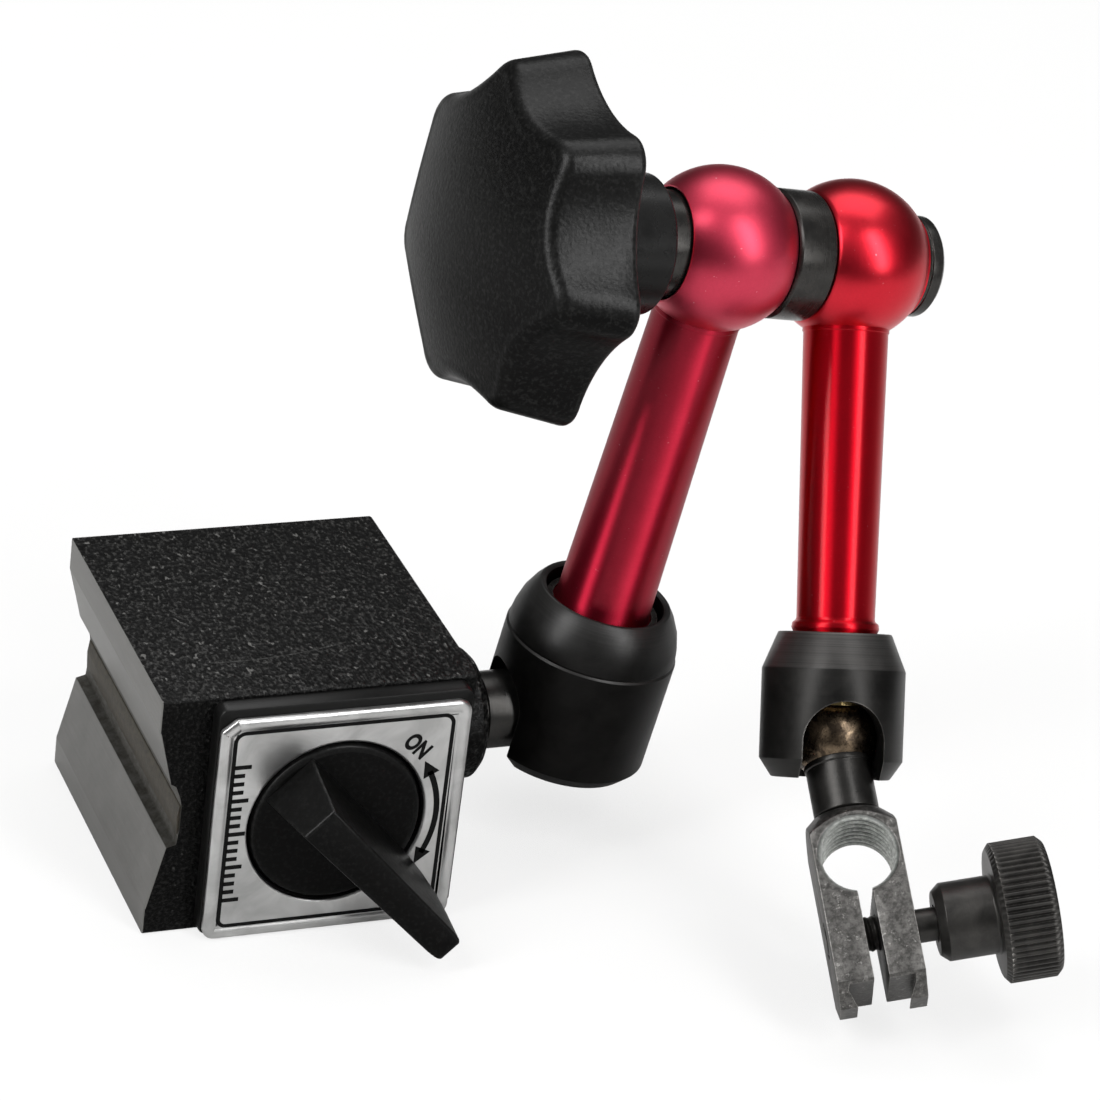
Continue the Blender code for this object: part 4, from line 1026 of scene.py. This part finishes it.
TUBE_BORE_R = 2.6
LOWER_END = tube_end(LOWER_BALL, LOWER_ELBOW, LOWER_ELBOW_R, 4.9)
lathe("lower_arm_tube", [(TUBE_BORE_R, 9.0), (6.2, 9.0), (6.2, 11.0, 0.1), (5.35, 11.3, 0.1),
                         (6.05, 11.55, 0.2), (6.35, 11.95, 0.25), (6.2, 12.5, 0.25),
                         (5.58, 12.75, 0.15), (5.50, 13.2, 0.1), (4.92, LOWER_END - 0.55, 0.05),
                         (5.02, LOWER_END - 0.42, 0.08), (5.02, LOWER_END + 0.5),
                         (TUBE_BORE_R, LOWER_END + 0.5)],
      AT_LOWER_CUP, "red_1", "arm_1", ("lower_tube",), segs=128)
UPPER_END = tube_end(UPPER_BALL, UPPER_ELBOW, UPPER_ELBOW_R, 4.8)
lathe("upper_arm_tube", [(TUBE_BORE_R, 9.0), (4.85, 9.0), (4.85, 11.05, 0.1), (4.45, 11.2, 0.1),
                         (4.68, 11.35, 0.15), (4.86, 11.75, 0.25), (4.78, 12.3, 0.25),
                         (4.4, 12.6, 0.1), (4.34, 12.9, 0.1), (4.72, UPPER_END - 0.5, 0.05),
                         (4.82, UPPER_END - 0.38, 0.08), (4.82, UPPER_END + 0.5),
                         (TUBE_BORE_R, UPPER_END + 0.5)],
      AT_UPPER_CUP, "red_2", "arm_2", ("upper_tube",), segs=128)

# ---------------------------------------------------------------- elbow
ELBOW_BORE_R, COLLAR_BORE_R = 3.3, 3.2
LOWER_FLAT, UPPER_FLAT = 6.15, 5.55    # from each ball's centre to its flat at the spacer
SPACER_GAP = 0.12


def flat_rim(ball_r, flat):
    """The radius of the flat, less a small edge break, and the angle of its rim."""
    return math.sqrt(ball_r ** 2 - flat ** 2) - 0.12, math.degrees(math.asin(flat / ball_r))


RIM_R, RIM_ANGLE = flat_rim(LOWER_ELBOW_R, LOWER_FLAT)
lathe("elbow_sphere_lower", [(ELBOW_BORE_R, LOWER_FLAT), (RIM_R, LOWER_FLAT),
                             *arc(LOWER_ELBOW_R, RIM_ANGLE - 1.0, -47.5, 60), (6.35, -6.75),
                             (6.2, -6.6), (6.2, 2.6), (ELBOW_BORE_R, 2.6)],
      AT_LOWER_ELBOW, "ball_1", "arm_1", ("elbow_ball_lower",), segs=128, loop=True, angle=25)

RIM_R, RIM_ANGLE = flat_rim(UPPER_ELBOW_R, UPPER_FLAT)
MOUTH_ANGLE = math.degrees(math.acos(6.0 / UPPER_ELBOW_R))
lathe("elbow_sphere_upper", [(ELBOW_BORE_R, -UPPER_FLAT), (RIM_R, -UPPER_FLAT),
                             *arc(UPPER_ELBOW_R, -RIM_ANGLE + 1.0, MOUTH_ANGLE, 60),
                             (5.98, 6.95), (5.95, 6.8), (5.95, -2.6), (ELBOW_BORE_R, -2.6)],
      AT_UPPER_ELBOW, "ball_2", "arm_2", ("elbow_ball_upper",), segs=128, loop=True, angle=25)

SPACER_LO = LOWER_FLAT + SPACER_GAP
SPACER_HI = ELBOW_PITCH - UPPER_FLAT - SPACER_GAP
lathe("elbow_spacer_ring", [(ELBOW_BORE_R, SPACER_LO), (6.85, SPACER_LO, 0.08),
                            (7.2, SPACER_LO + 0.3, 0.15), (7.2, SPACER_HI - 0.3, 0.15),
                            (6.9, SPACER_HI, 0.08), (ELBOW_BORE_R, SPACER_HI)],
      AT_LOWER_ELBOW, "ring", "elbow_spacer", ("elbow_ring",), segs=128, loop=True)
lathe("collar", [(COLLAR_BORE_R, 2.0), (4.3, 2.0, 0.1), (5.75, -5.1, 0.2), (5.85, -5.6, 0.1),
                 (5.85, -9.15, 0.2), (5.6, -9.4, 0.1), (COLLAR_BORE_R, -9.4)],
      AT_LOWER_ELBOW, "ring", "collar", ("lock_collar",), segs=128, loop=True)
lathe("end_cap_cone", [(0, 9.1), (0.6, 9.27), (5.1, 9.35, 0.2), (5.65, 8.85, 0.2),
                       (5.65, 7.7, 0.05), (5.45, 7.55, 0.05), (5.65, 7.4, 0.05), (5.6, 4.6, 0.2),
                       (4.3, -2.1), (COLLAR_BORE_R, -2.1), (COLLAR_BORE_R, 5.2), (0, 5.2)],
      AT_UPPER_ELBOW, "ring", "arm_1", ("end_cap",), segs=128)

# ---------------------------------------------------------------- lock knob
LOBES, LOBE_TIP, LOBE_VALLEY, LOBE_ROUND = 7, 19.18, 16.38, 3.33
KNOB_BACK, BACK_ROUND, FRONT_ROUND = 20.26, 0.9, 1.6
CROWN_Z, CROWN_R = 32.68, 51.5
CROWN_FRACTIONS = (0.97, 0.92, 0.85, 0.76, 0.66, 0.55, 0.44, 0.33, 0.22, 0.11)


def lobe_radius(angle):
    """The knob's outline at an angle: round lobe tips joined tangentially by scooped valleys."""
    half_pitch = math.pi / LOBES
    cos_half = math.cos(half_pitch)
    tip_centre = LOBE_TIP - LOBE_ROUND
    # the scoop's centre is LOBE_ROUND + scoop from the tip's centre
    scoop = ((tip_centre ** 2 + LOBE_VALLEY ** 2 - 2 * tip_centre * LOBE_VALLEY * cos_half
              - LOBE_ROUND ** 2) / (2 * (tip_centre * cos_half - LOBE_VALLEY + LOBE_ROUND)))
    scoop_centre = LOBE_VALLEY + scoop
    # the point where the two arcs touch
    share = LOBE_ROUND / (LOBE_ROUND + scoop)
    x = tip_centre + (scoop_centre * cos_half - tip_centre) * share
    y = scoop_centre * math.sin(half_pitch) * share
    turn = abs((angle + half_pitch) % (2 * half_pitch) - half_pitch)
    if turn <= math.atan2(y, x):
        across = tip_centre * math.sin(turn)
        return tip_centre * math.cos(turn) + math.sqrt(max(0, LOBE_ROUND ** 2 - across ** 2))
    turn = half_pitch - turn
    across = scoop_centre * math.sin(turn)
    return scoop_centre * math.cos(turn) - math.sqrt(max(0, scoop ** 2 - across ** 2))


def crown(radius):
    """Height of the domed front at a radius."""
    return CROWN_Z - (CROWN_R - math.sqrt(CROWN_R ** 2 - radius * radius))


def draft(z):
    """The moulding tapers towards its front."""
    return 1 - 0.0664 * (z - 26.43) / 6.0


def knob():
    """The lobed knob, as rows of (point, height) from its back face round to its front."""
    count = LOBES * 36
    outline = []
    for i in range(count):
        angle = 2 * math.pi * i / count
        radius = lobe_radius(angle)
        outline.append(Vector((radius * math.cos(angle), radius * math.sin(angle))))
    normals = []
    for i in range(count):
        along = (outline[(i + 1) % count] - outline[i - 1]).normalized()
        normals.append(Vector((along.y, -along.x)))

    def inset(depth):
        return [point - normal * depth for point, normal in zip(outline, normals)]

    front = inset(FRONT_ROUND)
    wall = KNOB_BACK + BACK_ROUND
    rows = []
    for part in (0.45, 0.7, 0.9):
        rows.append([(point * part, KNOB_BACK + 0.25 * (1 - part)) for point in outline])
    for k in range(5):
        turn = math.pi / 2 * k / 4
        z = KNOB_BACK + BACK_ROUND * (1 - math.cos(turn))
        rows.append([(point, z) for point in inset(BACK_ROUND * (1 - math.sin(turn)))])
    for k in range(1, 4):
        rows.append([(p, wall + (crown(p.length) - FRONT_ROUND * 0.95 - wall) * k / 4)
                     for p in outline])
    for k in range(8):
        turn = math.pi / 2 * k / 7
        drop = FRONT_ROUND * (1 - math.sin(turn)) * 0.95
        edge = inset(FRONT_ROUND * (1 - math.cos(turn)))
        rows.append([(point, crown(top.length) - drop) for point, top in zip(edge, front)])
    for part in CROWN_FRACTIONS:
        rows.append([(point * part, crown((point * part).length)) for point in front])
    rows.append([(Vector((0, 0)), crown(0))])
    geo = bmesh.new()
    skin(geo, [ring(geo, [(p.x * draft(z), p.y * draft(z), z) for p, z in row])
               for row in rows])
    piece("knob_body", geo, AT_KNOB, "knob", "knob", ("lock_knob",), angle=60)


knob()
lathe("knob_hub", [(4.6, 9.9), (4.9, 9.6, 0.1), (7.35, 9.6, 0.25), (7.7, 9.95, 0.2),
                   (7.8, 18.9, 0.8), (8.6, 20.3, 0.5), (12.0, 20.7), (4.6, 20.7)],
      AT_KNOB, "hub", "knob", loop=True)

# ---------------------------------------------------------------- clamp block
CLAMP_HALF_X, CLAMP_HALF_Y = 4.8, 5.0
CLAMP_START, CLAMP_FLOOR, CLAMP_END = -5.8, 14.2, 16.15   # along the stem's axis
RIB_PITCH, RIB_STEPS = 1.25, 84


def ribbed_bore():
    """The clamp's through hole, ribbed along its length and flared at its mouths."""
    corners = [(0, -8.0), (4.1, -8.0)]
    for i in range(RIB_STEPS + 1):
        z = -6.0 + 12.0 * i / RIB_STEPS
        flare = min(max(0.0, abs(z) - 4.75) * 0.8, 0.35)
        corners.append((4.14 + 0.13 * math.cos(2 * math.pi * z / RIB_PITCH) + flare, z))
    return turned(corners + [(4.1, 8.0), (0, 8.0)], 72)


def clamp():
    start, floor_z, end = CLAMP_START, CLAMP_FLOOR, CLAMP_END
    obj = helper("clamp_tmp", block(CLAMP_HALF_X, CLAMP_HALF_Y, start, end), AT_CLAMP)
    envelope = turned([(0, start - 0.01), (3.95, start - 0.01), (7.75, start + 3.5),
                       (7.75, end + 2), (0, end + 2)])
    dovetail = prism([(-3.65, floor_z), (-3.65, floor_z + 0.5), (-2.8, end + 0.05),
                      (-2.8, end + 3), (2.8, end + 3), (2.8, end + 0.05),
                      (3.65, floor_z + 0.5), (3.65, floor_z)], -9, 9)
    along_y = Matrix(((1, 0, 0), (0, 0, -1), (0, 1, 0))).to_4x4()
    screw_hole = turned([(0, -9), (2.05, -9), (2.05, -0.5), (2.05, 4.3), (2.5, 4.85), (2.5, 9),
                         (0, 9)], 48)
    at_bore = placed(CLAMP_BORE, STEM_AXIS.cross(SCREW_AXIS), SCREW_AXIS)
    cuts = [(ribbed_bore(), at_bore), (block(0.82, 9, 2.5, 25), AT_CLAMP),
            (dovetail, AT_CLAMP @ along_y), (screw_hole, AT_SCREW)]
    for side in (1, -1):
        inner, outer = side * (CLAMP_HALF_Y - 3.3), side * (CLAMP_HALF_Y + 0.2)
        chamfer = prism([(inner, end + 0.1), (outer, end + 0.1), (outer, floor_z - 0.35)], -9, 9)
        cuts.append((chamfer, AT_CLAMP @ ALONG_X))
    steps = [("INTERSECT", helper("clamp_envelope", envelope, AT_CLAMP))]
    steps += [("DIFFERENCE", helper("clamp_cut", geo, matrix)) for geo, matrix in cuts]
    mesh, matrix = carve(obj, steps, bevel=0.09)
    for face in mesh.polygons:
        x, y, z = Vector(face.center) / MM
        in_bore = math.hypot(x, z) < 4.75 and abs(y) < 4.95 and z < 4.2
        face.material_index = 1 if in_bore and abs(face.normal.y) < 0.85 else 0
    finish("clamp_body", mesh, matrix, "clamp bore", "clamp", ("clamp_block",), angle=30)


clamp()

# ---------------------------------------------------------------- clamp screw
THREAD_PITCH = 0.7
KNURL_COUNT, KNURL_DEPTH, KNURL_FADE = 60, 0.42, 0.45
KNURL_LO, KNURL_HI = 14.0, 19.65


def thread(radius, z, angle):
    """M4 thread over the shank's inner part; the neck under the head is plain."""
    if -4.7 < z < 3.9 and radius > 1.2:
        phase = (z / THREAD_PITCH - angle / (2 * math.pi)) % 1.0
        return radius + 0.17 * (abs(phase - 0.5) * 2) - 0.12
    return radius


def knurl(radius, z, angle):
    """Straight grooves round the head, fading out at both ends."""
    if KNURL_LO < z < KNURL_HI and radius > 7.1:
        phase = (angle * KNURL_COUNT / (2 * math.pi)) % 1.0
        depth = KNURL_DEPTH * min(1.0, (z - KNURL_LO) / KNURL_FADE, (KNURL_HI - z) / KNURL_FADE)
        return radius - depth * (0.5 + 0.5 * math.cos(2 * math.pi * phase)) ** 1.6
    return radius


lathe("screw_shank", [(0, -4.9), (1.4, -4.9), (1.75, -4.6),
                      *[(1.9, -4.6 + 8.6 * i / 110) for i in range(1, 111)],
                      (1.9, 4.02), (1.85, 4.3, 0.1), (1.85, 7.6), (1.85, 12.0), (0, 12.0)],
      AT_SCREW, "screw", "screw_feed", ("screw_rod",), segs=48, contour=thread)
lathe("screw_knob", [(2.1, 7.25), (3.5, 7.2, 0.15), (4.3, 8.15, 0.2), (4.3, 13.5, 0.25),
                     (4.55, 13.7, 0.1), (7.0, 13.7, 0.15),
                     *[(7.7, 14.25 + 5.05 * i / 16) for i in range(17)],
                     (7.05, 19.95, 0.15), (5.9, 20.0, 0.1), (5.5, 19.8, 0.1), (0, 19.8)],
      AT_SCREW, "screw", "screw", ("screw_head",), segs=480, contour=knurl, angle=50)

# ---------------------------------------------------------------- inner parts keep their shapes
INNER_PARTS = {
    "magnet": ("rotor_magnet",),
    "bright": ("rotor_shaft", "lower_push_rod", "upper_push_rod", "tie_bolt"),
    "ring": ("lower_retainer", "upper_retainer"),
    "brass": ("lower_ball_seat", "upper_ball_seat", "knob_insert"),
}
for key, names in INNER_PARTS.items():
    for name in names:
        materials = frame["nodes"][name].data.materials
        materials.clear()
        materials.append(MAT[key][1].material)

# ---------------------------------------------------------------- camera
CAMERA_POS = Vector((-0.14807, -0.39124, 0.26691))
FORWARD = Vector((0.369, 0.799, -0.476)).normalized()
UP = Vector((0.927, -0.356, 0.121)).normalized().cross(FORWARD).normalized()
RIGHT = FORWARD.cross(UP).normalized()

camera_data = bpy.data.cameras.new("camera")
camera_data.sensor_width = 36
camera_data.lens = 142.1
camera_data.clip_start = 0.01
camera_matrix = Matrix((RIGHT, UP, -FORWARD)).transposed().to_4x4()
camera_matrix.translation = CAMERA_POS
bpy.context.scene.camera = add_object("camera", camera_data, camera_matrix)


# ---------------------------------------------------------------- floor
def floor_white():
    """Seen directly the floor is mostly clear, so shadows stay faint and a pose that reaches
    below the bench still shows; from below it is quite clear. In reflections and for bounced
    light it is a plain pale surface."""
    clear_above, more_below = 0.70, 0.30
    mat = Mat("floor_white")
    tone = mat.mix(mat.noise(scale=0.02, detail=2), (0.74, 0.74, 0.735), (0.78, 0.78, 0.775))
    mat.set(Base_Color=tone, Roughness=0.9, Specular_IOR_Level=0.1)
    clear = mat.node("BsdfTransparent").outputs[0]
    path = mat.node("LightPath").outputs
    below = mat.node("NewGeometry").outputs["Backfacing"]
    share = mat.math("MULTIPLY_ADD", below, more_below, clear_above)
    fac = mat.math("MAXIMUM", mat.times(path["Is Camera Ray"], share), path["Is Shadow Ray"])
    both = mat.node("MixShader", {0: fac, 1: mat.shader.outputs[0], 2: clear})
    mat.feed(both.outputs[0], mat.out.inputs[0])
    return mat.material


floor_material = floor_white()
floor_geo = bmesh.new()
bmesh.ops.create_grid(floor_geo, x_segments=2, y_segments=2, size=2.5)
floor_mesh = to_mesh("floor", floor_geo)
floor_mesh.materials.append(floor_material)
floor = add_object("floor", floor_mesh)
floor.location = (0.03, 0.0, -0.00005)


# ---------------------------------------------------------------- world
def studio():
    """A soft grey sky for light and reflections, and plain white for what the camera sees."""
    world = bpy.data.worlds.new("studio")
    bpy.context.scene.world = world
    world.use_nodes = True
    graph = Graph(world.node_tree)
    out = graph.node("OutputWorld")
    height = graph.xyz(graph.coord("Generated"))[2]
    sky_tone = graph.ramp(height, [(0.0, 0.22), (0.40, 0.08), (0.80, 0.75), (1.0, 1.0)])
    sky = graph.node("Background", {"Color": sky_tone, "Strength": 0.42})
    white = graph.node("Background", {"Color": (1, 1, 1), "Strength": 1.10})
    seen = graph.node("LightPath").outputs["Is Camera Ray"]
    mixed = graph.node("MixShader", {0: seen, 1: sky.outputs[0], 2: white.outputs[0]})
    graph.feed(mixed.outputs[0], out.inputs[0])


studio()

# ---------------------------------------------------------------- lights
LIGHT_TARGET = Vector((0.03, -0.01, 0.04))
# name, azimuth from behind the camera (+ to its right) and elevation in degrees,
# distance, width and height in metres, power
LIGHTS = [
    ("key_left", -52, 38, 0.9, 0.24, 0.85, 5.4),
    ("key_right", 48, 36, 0.9, 0.22, 0.85, 4.8),
    ("top", 175, 68, 1.0, 0.9, 0.7, 4.0),
]


def area(name, azimuth, elevation, distance, width, height, power):
    """A rectangular light that faces the target."""
    back = -Vector((FORWARD.x, FORWARD.y, 0)).normalized()
    side = Vector((RIGHT.x, RIGHT.y, 0)).normalized()
    turn, rise = math.radians(azimuth), math.radians(elevation)
    level = (back * math.cos(turn) + side * math.sin(turn)) * math.cos(rise)
    toward = level + Vector((0, 0, math.sin(rise)))
    data = bpy.data.lights.new(name, "AREA")
    data.shape = "RECTANGLE"
    data.size, data.size_y = width, height
    data.energy = power
    origin = (LIGHT_TARGET + toward * distance) / MM
    add_object(name, data, placed(origin, toward, Vector((0, 0, 1)).cross(toward)))


for light in LIGHTS:
    area(*light)

view = bpy.context.scene.view_settings
view.view_transform = "Standard"
view.look = "None"
view.exposure = 0.0
